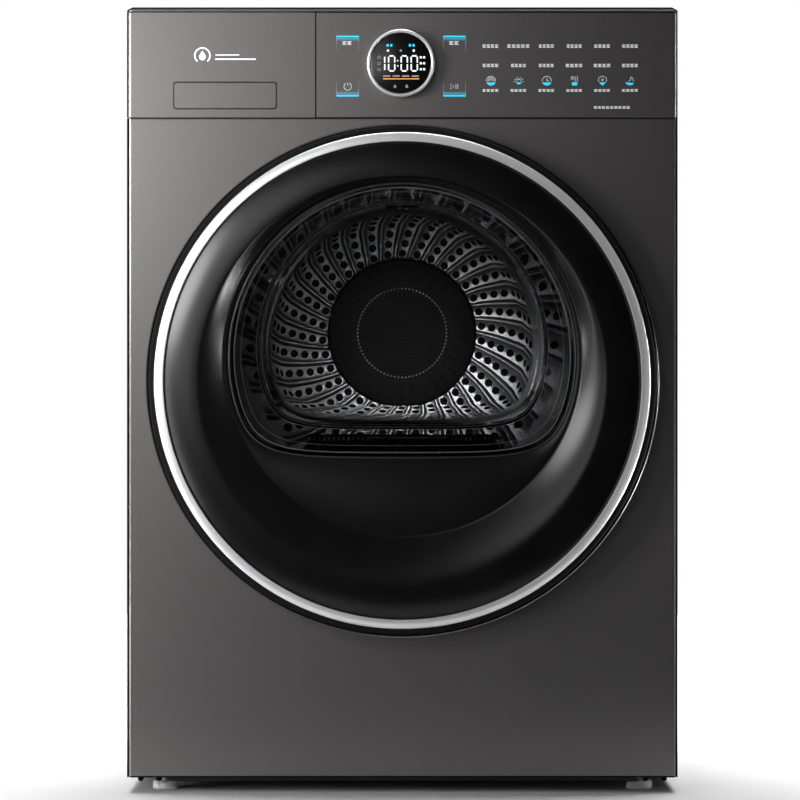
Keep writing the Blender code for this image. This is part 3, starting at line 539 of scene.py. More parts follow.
def make_top_cover():
    """Flat cover whose upper edges are cut at a slant all round."""
    low, high = reach("top_cover")
    levels = ((low.z, 12, 40), (845.6, 12, 40), (845.6, 0, 0), (846.7, 0, 0), (847.2, 0.4, 0.4),
              (high.z - 0.6, 5.2, 1.6), (high.z, 6.6, 2.8))
    rings = []
    for z, inset, front_inset in levels:
        outline = rounded(low.x + inset, high.x - inset, low.y + front_inset, high.y - inset, 5)
        rings.append([(x, y, z) for x, y in outline])
    piece("top_cover_fine", loft(rings), "cabinet", paint, ["top_cover"], 25, 0.25, even=True)


def make_base_details():
    """The two plugs and pads that show beside each front foot."""
    plugs = bmesh.new()
    for side in (-1, 1):
        for x in (264, 284):
            turned([(3.2, -262), (3.2, -268.5), (2.2, -269.5)], (side * x, 14.5), 32, False, into=plugs)
    piece("base_plugs", plugs, "cabinet", deep_black)


def make_feet():
    for code, node in (("fl", "foot_front_left"), ("fr", "foot_front_right"),
                       ("rl", "foot_rear_left"), ("rr", "foot_rear_right")):
        low, high = reach(node)
        centre = ((low.x + high.x) / 2, (low.y + high.y) / 2)
        radius = (high.x - low.x) / 2
        profile = [(radius - 1.5, 0), (radius - 0.4, 0.4), (radius, 1.5), (radius, 7.5), (radius - 0.6, 8.6),
                   (radius - 2, 9.6), (5, 9.6)]
        for turn in range(12):
            z = 11 + turn * 2.2
            profile += [(4.4, z), (5, z + 1.1)]
        profile.append((4.4, high.z))
        foot = turned(profile, centre, 64, False, "Z")
        piece(node + "_fine", foot, "foot_" + code, foot_grey, [node], 35)


def make_rear_details():
    """Round duct cover, ventilation slots and screws on the back."""
    low, high = reach("rear_duct_cover")
    face, back = low.y, high.y
    dome = turned([(238, face), (238, 300), (236, 304), (231, 308.5), (225, back)], (0, DRUM_Z), closed=False)
    channel = box(110, 270, face, 305, 70, 400)
    inside = turned([(236, face - 5), (236, 299), (224, back - 2)], (0, DRUM_Z), closed=False)
    inside = boolean(inside, box(112, 268, face - 5, 303, 72, 400), "UNION")
    cover = boolean(boolean(dome, channel, "UNION"), inside)
    piece("rear_duct_cover_fine", cover, "cabinet", galvanised, ["rear_duct_cover"], 30, 1.2)
    screws = bmesh.new()
    for i in range(10):
        angle = 2 * math.pi * (i + 0.5) / 10
        x, z = polar(245, angle, DRUM_Z)
        if not (100 < x < 280 and z < 400):
            add_screw(screws, x, face - 0.2, z)
    for side in (-1, 1):
        for z in (50, 180, 310, 440, 570, 700, 825):
            add_screw(screws, side * 288, face - 0.2, z)
    piece("rear_screws", screws, "cabinet", part_steel, smooth=30)
    slots = bmesh.new()
    for row in range(9):
        z = 100 + row * 12
        prism(rounded(-190, -60, z, z + 4, 1.9), face - 0.25, face + 0.6, into=slots)
    piece("rear_vents", slots, "cabinet", deep_black)


def add_screw(shape, x, y, z):
    """A pan-head screw facing +Y."""
    turned([(3.6, y), (3.6, y + 0.8), (2.9, y + 1.6), (1.6, y + 2.0)], (x, z), 20, False, into=shape)


def make_side_ribs():
    """The long pressed panel outline on each side."""
    low, high = reach("right_side_panel")
    for name, side in (("left_side_rib", -1), ("right_side_rib", 1)):
        shape = bmesh.new()
        outline = rounded(low.y + 60, high.y - 60, low.z + 70, high.z - 90, 30, 10)
        rings = []
        for y, z in outline:
            middle = Vector(((low.y + high.y) / 2, (low.z + high.z) / 2))
            out = (Vector((y, z)) - middle).normalized()
            rings.append([(side * (HALF_WIDTH + depth), y + out.x * shift, z + out.y * shift)
                          for depth, shift in ((-0.3, -5), (0.5, -2.5), (0.7, 0), (0.5, 2.5), (-0.3, 5))])
        loft(rings, True, into=shape)
        piece(name, shape, "cabinet", paint, smooth=60)


# ---- door


def make_lip(radius, size, start, end, steps=90):
    """A round bead along part of the door hole's edge, tapered at both ends."""
    rings = []
    for i in range(steps + 1):
        share = i / steps
        angle = math.radians(start + (end - start) * share)
        here = size * min(1, 0.1 + 4 * share, 0.1 + 4 * (1 - share))
        ring = []
        for k in range(10):
            r, y = polar(here, math.pi * k / 5, PANEL_Y + 0.1, radius)
            x, z = polar(r, angle, DOOR_Z)
            ring.append((x, y, z))
        rings.append(ring)
    return loft(rings)


def make_edge_lines():
    """Dark lines: painted shade along the body's side edges and the cover's top rim, and the seams of the
    console.
    """
    low, high = reach("top_cover")
    shade_strips, drawer_shade_strip = bmesh.new(), bmesh.new()
    # Deep-black strips at the side edges and along the cover's rim: painted shade where the sheets turn away
    # from the front.
    runs = ((1, PANEL_BOTTOM_Z, high.z - 3.4, shade_strips), (-1, PANEL_BOTTOM_Z, PANEL_TOP_Z, shade_strips),
            (-1, drawer_low.z, drawer_high.z, drawer_shade_strip), (-1, drawer_high.z + 0.2, high.z - 3.4, shade_strips))
    for side, bottom, top, shape in runs:
        inner, outer = sorted((side * (HALF_WIDTH - SHADE_STRIP_INSIDE), side * (HALF_WIDTH + SHADE_STRIP_OUTSIDE)))
        box(inner, outer, PANEL_Y + 0.7, PANEL_Y + 8, bottom, top, into=shape)
    rim = [(-HALF_WIDTH, high.z - 3.6), (-HALF_WIDTH + 5.6, high.z - 0.6),
           (HALF_WIDTH - 5.6, high.z - 0.6), (HALF_WIDTH, high.z - 3.6)]
    ribbon(rim, 1.3, low.y + 0.9, low.y + 2.5, into=shade_strips)
    piece("side_edge_painted_shade", shade_strips, "cabinet", deep_black)
    piece("drawer_edge_painted_shade", drawer_shade_strip, "water_drawer", deep_black)
    seams, edge = bmesh.new(), HALF_WIDTH - 2.5
    for x0, x1, face, z0, z1 in (
        (-edge, edge, PANEL_Y, PANEL_TOP_Z - 0.6, drawer_low.z - 0.05),
        (-edge, edge, PANEL_Y, PANEL_BOTTOM_Z - 0.4, PANEL_BOTTOM_Z + 1.4),
        (-edge, edge, FASCIA_Y, drawer_high.z + 0.05, drawer_high.z + 1.1),
        (drawer_high.x + 0.05, CONTROL_LEFT_X + 0.5, FASCIA_Y, CONTROL_BOTTOM_Z, CONTROL_TOP_Z),
    ):
        box(x0, x1, face - 0.05, face + 3, z0, z1, into=seams)
    piece("console_seams", seams, "cabinet", deep_black)
    lip = [(PANEL_Y - 0.3, PANEL_TOP_Z - 1.5), (PANEL_Y + 0.5, PANEL_TOP_Z - 0.4),
           (PANEL_Y + 1, PANEL_TOP_Z - 1.5)]
    piece("panel_lip", prism(lip, -edge, edge, "X"), "cabinet", paint)
    piece("hole_lip", make_lip(HOLE_R + 1.5, 0.85, -120, 35), "cabinet", part_steel, smooth=60)
    low, high = reach("drawer_grip_flap")
    slot = bmesh.new()
    ribbon(rounded(low.x - 0.9, high.x + 0.9, low.z - 0.9, high.z + 0.9, 3, 6), 1.2,
           FASCIA_Y - 0.04, FASCIA_Y + 2, True, into=slot)
    piece("flap_slot", slot, "water_drawer", dark_plastic)


def make_door_frame():
    """Black rim with a pocket and a notch for the hinge."""
    front, back = RIM_FRONT_Y, RIM_BACK_Y
    profile = [(238, front), (RIM_R - 3, front)]
    profile += arc(RIM_R - 3, front + 3, 3, -90, 0, 6)[1:]
    profile += [(RIM_R, back - 1), (RIM_R - 1, back), (RIM_R - 3, back), (RIM_R - 3, front + 3),
                (241, front + 3), (241, back + 2), (238, back + 2)]
    shape = turned(profile, (0, DOOR_Z))
    shape = boolean(shape, box(225, 270, front + 3.1, back + 6, DOOR_Z - 36, DOOR_Z + 36))
    shape = boolean(shape, box(260, 285, HINGE[1] + 1, back + 6, DOOR_Z - 26, DOOR_Z + 26))
    piece("door_rim", shape, "door", rim_black, ["door_frame"])


def make_trim_ring():
    inner = TRIM_R - TRIM_WIDTH
    front = DOOR_FRONT_Y
    profile = [(inner, TRIM_BACK_Y), (inner, front + 0.8), (inner + 0.2, front + 0.2), (inner + 0.8, front),
               (TRIM_R - 1.2, front + 2.9), (TRIM_R - 0.3, front + 3.6), (TRIM_R, front + 4.4),
               (TRIM_R, TRIM_BACK_Y)]
    piece("chrome_ring", turned(profile, (0, DOOR_Z)), "door", chrome, ["door_trim_ring"], 50)


def make_fascia():
    """Flat annulus, a smooth off-centre dish wall and the dark floor round the window."""
    wall = 2.5
    rings = [circle(0, DOOR_Z, FASCIA_R, DISH_FACE_Y + wall), circle(0, DOOR_Z, FASCIA_R, DISH_FACE_Y + 0.6),
             circle(0, DOOR_Z, FASCIA_R - 0.6, DISH_FACE_Y), circle(0, DOOR_Z, DISH_R + 1, DISH_FACE_Y)]
    edge = circle(0, DOOR_Z, DISH_R, DISH_FACE_Y)
    floor = circle(0, DISH_FLOOR_Z, DISH_FLOOR_R, DISH_FLOOR_Y)
    steps = 20
    for i in range(steps + 1):
        share = i / steps
        depth = DISH_FACE_Y + (DISH_FLOOR_Y - DISH_FACE_Y) * share ** 1.5
        rings.append([(x, depth, z) for x, _, z in mix_rings(edge, floor, share)])
    window = d_ring(WINDOW_R, WINDOW_Z, WINDOW_BOTTOM_Z, DISH_FLOOR_Y)
    rings += [circle(0, DISH_FLOOR_Z, DISH_FLOOR_R - 0.8, DISH_FLOOR_Y),
              d_ring(WINDOW_R + 0.6, WINDOW_Z, WINDOW_BOTTOM_Z - 0.6, DISH_FLOOR_Y),
              [(x, y + 0.5, z) for x, y, z in window],
              [(x, y + wall, z) for x, y, z in window],
              circle(0, DISH_FLOOR_Z, DISH_FLOOR_R + 1, DISH_FLOOR_Y + wall),
              circle(0, DOOR_Z, DISH_R + wall, DISH_FACE_Y + wall)]
    piece("gloss_fascia", loft(rings, True), "door", gloss_black, ["door_fascia"], 60)


def make_window_edge():
    """The polished bead round the D-shaped window."""
    y = DISH_FLOOR_Y
    rings = []
    for inset, depth in ((0.0, 0.4), (0.2, -0.5), (0.9, -0.8), (1.7, -0.4), (1.9, 0.8)):
        rings.append(d_ring(WINDOW_R - inset, WINDOW_Z, WINDOW_BOTTOM_Z + inset, y + depth))
    rings.append(d_ring(WINDOW_R - 1.0, WINDOW_Z, WINDOW_BOTTOM_Z + 1.0, y + 1.6))
    piece("window_bead", loft(rings, True), "door", dark_plastic, smooth=60)


def make_glazing():
    """Window pane, the bowl's clear floor, its wall in glass tinted dark as painted shade, and painted
    highlights along its edges as glowing lines.
    """
    front, back = -289.6, -286.2
    pane = [d_ring(WINDOW_R + 3, WINDOW_Z, WINDOW_BOTTOM_Z - 3, y) for y in (front, back)]
    piece("window_pane", loft(pane), "door", pane_glass, ["door_window"])
    wall, mouth, flange = 3.5, -285.9, -281.9
    back = BOWL_BACK_Y
    inner = [d_ring(BOWL_R - wall - inset, BOWL_Z, BOWL_BOTTOM_Z + wall + inset, back - wall - depth)
             for inset, depth in ((20, 0), (11, 0), (6, 0.8), (2.4, 2.6), (0.2, 6), (-1.2, 10))]
    outer = [d_ring(BOWL_R - inset, BOWL_Z, BOWL_BOTTOM_Z + inset, back - depth)
             for inset, depth in ((-5.5, 10), (-4.2, 6), (-2.0, 2.6), (1.5, 0.8), (6.5, 0), (16, 0))]
    piece("bowl_floor", loft(inner + outer), "door", bowl_glass, ["door_bowl"], 50)
    sides = [inner[-1], d_ring(181.5, BOWL_MOUTH_Z, 368.5, mouth), d_ring(198, WINDOW_Z, 352, mouth),
             d_ring(198, WINDOW_Z, 352, flange), d_ring(185, BOWL_MOUTH_Z, 365, flange), outer[0]]
    # The wall's darker glass is painted shade on the same bowl glass.
    piece("bowl_wall", loft(sides, True), "door", bowl_wall_painted_shade_glass, ["door_bowl"], 50)
    # Glowing lines of painted highlight along the bowl's edges.
    lines = bmesh.new()
    for share, width in ((0.0, 0.9), (0.12, 0.4), (0.75, 0.5), (1.0, 1.1)):
        radius = BOWL_R + 1.5 + share * (180 - BOWL_R)
        centre_z = BOWL_Z + share * (BOWL_MOUTH_Z - BOWL_Z)
        bottom_z = BOWL_BOTTOM_Z - 1.5 + share * (370 - BOWL_BOTTOM_Z)
        y = back - 7 + share * (mouth - back + 8)
        rings = [d_ring(radius + dr, centre_z, bottom_z - dr, y + dy)
                 for dr, dy in ((0, 0), (width, 0), (width, 0.3), (0, 0.3))]
        loft(rings, True, into=lines)
    piece("bowl_edge_painted_highlight", lines, "door", painted_edge_highlight, smooth=60)


def make_inner_frame():
    """The door's black back plate, with the latch loops and its screws."""
    front, back = -281.6, -276.0
    rings = [circle(0, DOOR_Z, 262, front), d_ring(187, BOWL_MOUTH_Z, 363, front),
             d_ring(187, BOWL_MOUTH_Z, 363, back + 1.2), d_ring(188.2, BOWL_MOUTH_Z, 361.8, back),
             circle(0, DOOR_Z, 260.8, back), circle(0, DOOR_Z, 262, back - 1.2)]
    shape = loft(rings, True)
    for z in (434.5, 452.5):
        shape = boolean(shape, box(-249, -239, back - 1, -270.8, z, z + 5), "UNION")
    shape = boolean(shape, box(HINGE[0] - 24, 275, -290, -270, DOOR_Z - 28, DOOR_Z + 28))
    piece("inner_frame", shape, "door", dark_plastic, ["door_inner_frame"])
    screws = bmesh.new()
    for i in range(12):
        angle = 2 * math.pi * (i + 0.5) / 12
        x, z = polar(250, angle, DOOR_Z)
        add_screw(screws, x, back - 0.2, z)
    piece("inner_frame_screws", screws, "door", part_steel)


def mouth_rings(profile):
    """D-shaped rings about the loading mouth from (radius, bottom, depth) rows."""
    return [d_ring(radius, MOUTH_Z, bottom_z, y) for radius, bottom_z, y in profile]


def make_surround():
    """The funnel round the loading mouth, its seal and the hinge bracket's screws."""
    face, rear, seal_back = -269.2, -214.0, -269.5
    funnel = ((203, 345, face), (201, 347, face + 0.7), (200, 348, face + 2.5), (192, 368, rear - 0.8),
              (192.8, 367.2, rear), (194.5, 365.5, rear), (202.5, 345.5, face + 3))
    rings = [circle(0, DOOR_Z, 281, face)] + mouth_rings(funnel) + [circle(0, DOOR_Z, 281, face + 3)]
    slot = box(-257, -231, -275, -260, DOOR_Z - 8, DOOR_Z + 8)
    shape = boolean(loft(rings, True), slot)
    piece("surround", shape, "cabinet", dark_plastic, ["loading_surround"])
    lips = ((206, 343, 0), (206, 343, 4.4), (207, 342, 5.6), (208.5, 340.5, 5.9), (211, 338.5, 5.7),
            (213, 337, 4), (214, 336, 0))
    seal = mouth_rings((radius, bottom_z, seal_back - lift) for radius, bottom_z, lift in lips)
    piece("mouth_seal", loft(seal, True), "cabinet", rubber, ["door_seal"], 60)
    screws = bmesh.new()
    for z in (-14, 14):
        turned([(2.9, -272.1), (2.9, -272.8), (1.8, -273.4)], (254, DOOR_Z + z), 20, False, into=screws)
    piece("bracket_screws", screws, "cabinet", part_steel)


# ---- drum seen through the window

SECTORS = 34
BLADE_R0, BLADE_R1, DISC_R = 89.0, 180.0, 283.0
HUB_R = 87.2
WALL_Y = 249.0


def swirl(radius):
    """Blades lean clockwise, seen from the front, as they run outward."""
    return -math.radians(6.5) * min(max((radius - BLADE_R0) / 48, 0), 2.2)


def make_blade_sector():
    """One blade of the rear wall: a raised pad between a groove and a bead, with a row of holes."""
    across = ((0.0, 2.2), (0.05, 2.2), (0.09, -1.2), (0.13, -1.6), (0.18, -1.0), (0.24, 0.3), (0.5, -0.3),
              (0.9, 0.2), (0.95, 1.0), (1.0, 2.2))
    width = 2 * math.pi / SECTORS
    rows = 14
    rings = []
    for row in range(rows + 1):
        radius = BLADE_R0 + (BLADE_R1 - BLADE_R0) * row / rows
        front = [(*polar(radius, swirl(radius) + width * t, DRUM_Z), WALL_Y + lift) for t, lift in across]
        back = [(x, z, y + 1.0) for x, z, y in reversed(front)]
        rings.append([(x, y, z) for x, z, y in front + back])
    shape = loft(rings)
    holes = bmesh.new()
    for index in range(7):
        radius = BLADE_R0 + 6.4 + 12.0 * index
        angle = swirl(radius) + width * 0.56
        turned([(4.7, WALL_Y - 4), (4.7, WALL_Y + 6)], polar(radius, angle, DRUM_Z), 20, False, into=holes)
    return boolean(shape, holes)


def make_rear_wall():
    """All the blades as one wall, the flat rim round them and a dark disc of painted shade behind them, seen
    through their holes.
    """
    sector = make_blade_sector()
    mesh = bpy.data.meshes.new("sector")
    sector.to_mesh(mesh)
    sector.free()
    wall = bmesh.new()
    for index in range(SECTORS):
        fresh = len(wall.verts)
        wall.from_mesh(mesh)
        wall.verts.ensure_lookup_table()
        angle = 2 * math.pi * index / SECTORS
        for vertex in wall.verts[fresh:]:
            x, z = vertex.co.x, vertex.co.z - DRUM_Z * MM
            vertex.co.x = x * math.cos(angle) - z * math.sin(angle)
            vertex.co.z = x * math.sin(angle) + z * math.cos(angle) + DRUM_Z * MM
    rim = [(BLADE_R1 - 1, WALL_Y + 0.5), (BLADE_R1 - 1, WALL_Y + 2),
           (DISC_R, WALL_Y + 3), (DISC_R, WALL_Y + 1)]
    turned(rim, (0, DRUM_Z), 136, into=wall)
    piece("rear_wall_blades", wall, "drum", drum_steel, ["drum_rear_wall"], 40)
    # painted shade: a black disc behind the blades, so that their holes look dark
    shade_disc = turned([(60, WALL_Y + 6), (60, WALL_Y + 7), (BLADE_R1, WALL_Y + 7), (BLADE_R1, WALL_Y + 6)],
                     (0, DRUM_Z), 96)
    piece("rear_wall_painted_shade", shade_disc, "drum", deep_black)


def make_hub():
    """Black hub whose rows of fine holes are black dots of painted shade, a bright dotted ring and a mesh
    disc in the middle.
    """
    front = 233.2
    centre = (0, DRUM_Z)
    profile = [(30, front + 1.4), (50, front + 1.2), (54, front), (HUB_R - 3, front + 0.8),
               (HUB_R - 0.8, front + 2), (HUB_R, front + 4), (HUB_R, 243)]
    piece("hub_disc", turned(profile, centre, 120, False), "drum", hub_black,
          ["drum_hub_cover"], 30)
    # The holes are black dots laid on the hub: painted shade standing in for the dark inside of real holes.
    hole_shade = bmesh.new()
    for index in range(SECTORS):
        angle = 2 * math.pi * (index + 0.5) / SECTORS
        for radius in (64, 71, 78):
            add_dot(hole_shade, radius, angle, 1.7, front + 0.5)
    spacing = 4.9
    for row in range(-11, 12):
        for column in range(-11, 12):
            x = spacing * (column + 0.5 * (row % 2))
            z = spacing * 0.866 * row
            if math.hypot(x, z) < 48:
                add_dot(hole_shade, math.hypot(x, z), math.atan2(z, x), 1.5, front + 1.25)
    piece("hub_holes_painted_shade", hole_shade, "drum", deep_black)
    beads = bmesh.new()
    count = 76
    for index in range(count):
        angle = 2 * math.pi * index / count
        x, z = polar(53, angle, DRUM_Z)
        place = Vector((x, front - 0.4, z)) * MM
        bmesh.ops.create_icosphere(beads, subdivisions=1, radius=0.9 * MM, matrix=Matrix.Translation(place))
    piece("hub_bead_ring", beads, "drum", chrome, smooth=60)


def add_dot(shape, radius, angle, size, y):
    turned([(size, y - 0.6), (size, y + 0.3)], polar(radius, angle, DRUM_Z), 10, False, into=shape)


def make_drum_shell():
    """Drum wall with three rolled beads."""
    outer, wall = DRUM_R, 1.5
    front, back = DRUM_FRONT_Y, DRUM_BACK_Y
    skin = [(256, front), (outer - 6, front), (outer - 1.6, front + 1.8), (outer, front + 6)]
    for middle in (-60, 40, 190):
        skin += [(outer, middle - 8), (outer - 2.5, middle - 3)]
        skin += [(outer - 2.5, middle + 3), (outer, middle + 8)]
    skin.append((outer, back))
    inside = [(radius - wall, y if y > front + 2 else y + wall) for radius, y in reversed(skin)]
    inside[-1] = (256, front + wall)
    shape = turned(skin + inside, (0, DRUM_Z), 160)
    piece("drum_wall", shape, "drum", drum_steel, ["drum_shell"], 40)


def make_filter_top():
    """The inner lint filter, and the grille on the outer one seen at the bottom of the window."""
    low, high = FILTER_LOW, FILTER_HIGH
    shape, grille = bmesh.new(), bmesh.new()
    wall, grille_z = 1.5, high.z - 15
    for y0, y1 in ((low.y, low.y + wall), (high.y - wall, high.y)):
        box(low.x, high.x, y0, y1, low.z, high.z, into=shape)
    for x0, x1 in ((low.x, low.x + wall), (high.x - wall, high.x)):
        box(x0, x1, low.y + wall, high.y - wall, low.z, high.z, into=shape)
    box(low.x + wall, high.x - wall, low.y + wall, high.y - wall, low.z, low.z + wall, into=shape)
    for side in (-1, 1):
        for i in range(13):
            x = 8 + side * 46 + side * 5.3 * i
            box(x - 1.1, x + 1.1, low.y - 1.8, low.y - 0.3, grille_z, high.z - 2.5, into=grille)
    for i in range(4):
        z = grille_z + 3.6 * i
        box(-38, 48, low.y - 1.8, low.y - 0.3, z, z + 1.7, into=grille)
    piece("filter_grille", grille, "filter_outer", foot_grey)
    piece("lint_filter_fine", shape, "filter_inner", dark_plastic,
          ["lint_filter_inner"], bevel=0.3)


# ---- controls


def make_selector():
    """The chrome selector ring and the gloss display disc inside it."""
    centre = (SELECTOR_X, SELECTOR_Z)
    bore = LENS_R + 0.35
    front, back = SELECTOR_Y0, SELECTOR_Y1
    profile = [(bore, back), (bore, front + 1.6), (bore + 0.5, front + 0.5), (bore + 1.2, front)]
    profile += arc(SELECTOR_R - 1.6, front + 1.6, 1.6, -90, 0, 6)
    profile += [(SELECTOR_R, back - 2), (SELECTOR_R - 0.4, back)]
    piece("selector_ring_fine", turned(profile, centre, 160), "selector", chrome,
          ["selector_ring"], 40)
    lens = [(1, LENS_Y), (LENS_R - 0.8, LENS_Y), (LENS_R - 0.1, LENS_Y + 0.4), (LENS_R, LENS_Y + 1),
            (LENS_R, -292.3), (29.6, -292.3), (29.6, -284)]
    piece("display_disc", turned(lens, centre, 160, False), "cabinet", gloss_black,
          ["display_lens"], 30)


def seven_segments(digit, x, z, width, height, stroke):
    """The lit bars of a 0 or a 1, as paths."""
    half, gap = height / 2, stroke * 0.6
    columns = (x, x + width) if digit == 0 else (x + width,)
    bars = [[(side, z + low + gap), (side, z + low + half - gap)] for side in columns for low in (0, half)]
    if digit == 0:
        bars += [[(x + gap, level), (x + width - gap, level)] for level in (z, z + height)]
    return bars


def make_display():
    """Remaining time and the small signs on the selector's display."""
    y0, y1 = LENS_Y - 0.12, LENS_Y + 0.1
    white, pale, cyan, orange = (bmesh.new() for _ in range(4))

    def block(x, z, width, height, shape):
        left, low = SELECTOR_X + x - width / 2, SELECTOR_Z + z - height / 2
        box(left, left + width, y0, y1, low, low + height, into=shape)

    def dot(x, z, radius, shape):
        turned([(radius, y0), (radius, y1)], (SELECTOR_X + x, SELECTOR_Z + z), 16, False, into=shape)

    height, width, stroke = 16.2, 6.6, 1.45
    for digit, x in ((1, -24.0), (0, -13.2), (0, 0.4), (0, 11.2)):
        for bar in seven_segments(digit, SELECTOR_X + x, SELECTOR_Z - 8.6, width, height, stroke):
            ribbon(bar, stroke, y0, y1, into=white)
    for z in (2.4, -3.2):
        block(-3.3, z, 1.3, 1.3, white)
    for z in (6.0, -0.4, -6.8):
        for x in (21.6, 25.2):
            block(x, z, 2.3, 2.2, white)
        ring = arc(SELECTOR_X - 23.6, SELECTOR_Z + z, 1.5, 0, 360, 14)[:-1]
        ribbon(ring, 0.5, y0, y1, True, into=pale)
    for i in range(4):
        block(-15.4 + i * 10.3, -14.2, 7.8, 1.7, pale)
    block(0.2, -17.2, 39.0, 1.0, orange)
    for x in (-6.3, 6.5):
        corners = ((0, 2.2), (-1.7, -1.2), (0, -2.0), (1.7, -1.2))
        prism([(SELECTOR_X + x + a, SELECTOR_Z - 25 + b) for a, b in corners], y0, y1, into=pale)
    for x in (-12.3, 11.8):
        block(x - 2.0, 19.0, 2.4, 2.6, cyan)
        block(x + 2.0, 19.0, 2.4, 2.6, cyan)
    dot(-14.0, 13.3, 1.3, white)
    dot(0, 13.3, 1.3, pale)
    dot(13.9, 13.3, 1.3, white)
    for name, shape, material in (("white", white, mark_white), ("cyan", cyan, mark_cyan),
                                  ("grey", pale, mark_grey), ("orange", orange, mark_orange)):
        piece("display_" + name, shape, "cabinet", material)


def mark_line(shape, path, width, closed=False):
    """A printed line on the console."""
    ribbon(path, width, *MARK, closed, into=shape)


def make_touch_keys():
    """Four touch keys: a bright bar that fades inward, two tapering sides, and a sign in each."""
    white, cyan, pale = bmesh.new(), bmesh.new(), bmesh.new()
    half, depth = 12.0, 16.5
    left_x, right_x = SELECTOR_X - 57.6, SELECTOR_X + 58.1
    for centre_x in (left_x, right_x):
        for bar_z, inward in ((SELECTOR_Z + 29.6, -1), (SELECTOR_Z - 34.6, 1)):
            for step, width in ((0, 1.7), (2.0, 0.35), (3.0, 0.22), (4.0, 0.12)):
                z = bar_z + inward * step
                mark_line(cyan, [(centre_x - half, z), (centre_x + half, z)], width)
            for side in (-1, 1):
                x, end = centre_x + side * half, bar_z + inward * depth
                taper = [(x - 0.4, bar_z), (x + 0.4, bar_z), (x + 0.08, end), (x - 0.08, end)]
                prism(taper, *MARK, into=pale)
    sign_z = SELECTOR_Z - 24.5
    power = arc(left_x, sign_z, 4.0, 115, 425, 24)
    mark_line(white, power, 0.55)
    mark_line(white, [(left_x, sign_z + 0.6), (left_x, sign_z + 3.8)], 0.6)
    x = right_x - 4.0
    mark_line(white, [(x, sign_z - 2.6), (x, sign_z + 2.6), (x + 3.8, sign_z)], 0.5, True)
    for offset in (5.6, 7.6):
        mark_line(white, [(x + offset, sign_z - 2.6), (x + offset, sign_z + 2.6)], 0.55)
    for centre_x in (left_x, right_x):
        add_bar_word(white, centre_x, SELECTOR_Z + 22.5, 11, 3.6)
    piece("key_bars", cyan, "cabinet", mark_cyan)
    piece("key_signs", white, "cabinet", mark_pale)
    piece("key_sides", pale, "cabinet", mark_grey)


def half_disc(x, z, radius, start=200, end=340):
    """The lower cap of a disc, which is the lit foot of a programme sign."""
    return arc(x, z, radius, start, end, 14)


def programme_sign(kind, x, z):
    """Line paths and the lit foot of one of the six signs under the programme list."""
    if kind == 0:
        lines = [arc(x, z, r, -10, 190, 16) for r in (4.9, 3.3, 1.7)]
        return lines, half_disc(x, z, 5.2)
    if kind == 1:
        rays = [arc(x, z - 1, 2.6, 0, 180, 12)]
        for degrees in range(0, 181, 36):
            rays.append([polar(r, math.radians(degrees), z - 1, x) for r in (3.8, 5.6)])
        return rays, half_disc(x, z - 0.6, 3.2)
    if kind == 2:
        hands = [(x, z + 3.0), (x, z), (x + 2.2, z)]
        return [arc(x, z, 4.9, -10, 190, 20), hands], half_disc(x, z, 5.2)
    if kind == 3:
        stem = [(x + 0.6, z - 1), (x + 0.6, z + 4.6), (x + 3.0, z + 4.6), (x + 3.0, z - 1)]
        spot = arc(x - 2.4, z + 3.2, 1.5, 0, 360, 14)
        return [stem, spot], rounded(x - 2.8, x + 2.8, z - 5.0, z - 1.6, 0.5, 3)
    if kind == 4:
        shield = [(x - 4.2, z - 1), (x - 4.4, z + 3.2), (x, z + 5.2), (x + 4.4, z + 3.2), (x + 4.2, z - 1)]
        tip = [(x - 3.8, z - 1.6), (x, z - 5.4), (x + 3.8, z - 1.6)]
        return [shield, arc(x, z + 1.2, 1.0, 0, 360, 10)], tip
    moon = arc(x - 1.6, z + 0.2, 4.6, -10, 62, 12)
    inner = arc(x - 3.2, z + 3.0, 3.6, 20, -60, 10)
    return [moon, inner], half_disc(x - 0.6, z + 0.6, 5.4, 205, 325)


def make_programme_list():
    """Six columns: two rows of dashes for the programmes, six signs, and dashes under them."""
    white, cyan = bmesh.new(), bmesh.new()
    first_x, pitch = 96.0, 30.2
    widths = ((18, 25, 17, 17, 18, 18), (18, 17, 17, 19, 19, 18))
    for column in range(6):
        x = first_x + column * pitch
        for row, z in enumerate((SELECTOR_Z + 19.2, SELECTOR_Z - 1.8)):
            add_bar_word(white, x, z, widths[row][column], 3.4)
        lines, foot = programme_sign(column, x, SELECTOR_Z - 18.4)
        for path in lines:
            mark_line(white, path, 0.5)
        prism(foot, *MARK, into=cyan)
        add_bar_word(white, x, SELECTOR_Z - 28.8, 18, 2.6)
    add_bar_word(white, first_x + 4.35 * pitch, SELECTOR_Z - 47.2, 40, 2.6)
    piece("programme_marks", white, "cabinet", mark_pale)
    piece("programme_feet", cyan, "cabinet", mark_cyan)


def add_bar_word(shape, x, z, width, height):
    """Rows of short plain dashes in place of a word."""
    count = max(2, round(width / 4.6))
    step = width / count
    stroke = height * 0.26
    for i in range(count):
        left = x - width / 2 + i * step
        for level, share in ((height / 2 - stroke, 0.78), (-stroke / 2, 0.60), (-height / 2, 0.78)):
            box(left, left + step * share, *MARK, z + level, z + level + stroke, into=shape)


def make_drawer_sign():
    """A plain sign on the drawer: a drop in a ring, and a line beside it."""
    shape = bmesh.new()
    x, z = drawer_low.x + 81, 798.0
    mark_line(shape, arc(x, z, 8.2, -50, 230, 30), 1.5)
    drop = [(x, z + 5.4)] + arc(x, z - 1.6, 3.6, 150, 390, 14)
    prism(drop, *MARK, into=shape)
    mark_line(shape, [(x + 14, z - 4), (x + 58, z - 4)], 1.4)
    mark_line(shape, [(x + 14, z + 0.6), (x + 40, z + 0.6)], 1.0)
    piece("drawer_sign", shape, "water_drawer", mark_white)


# ---- studio


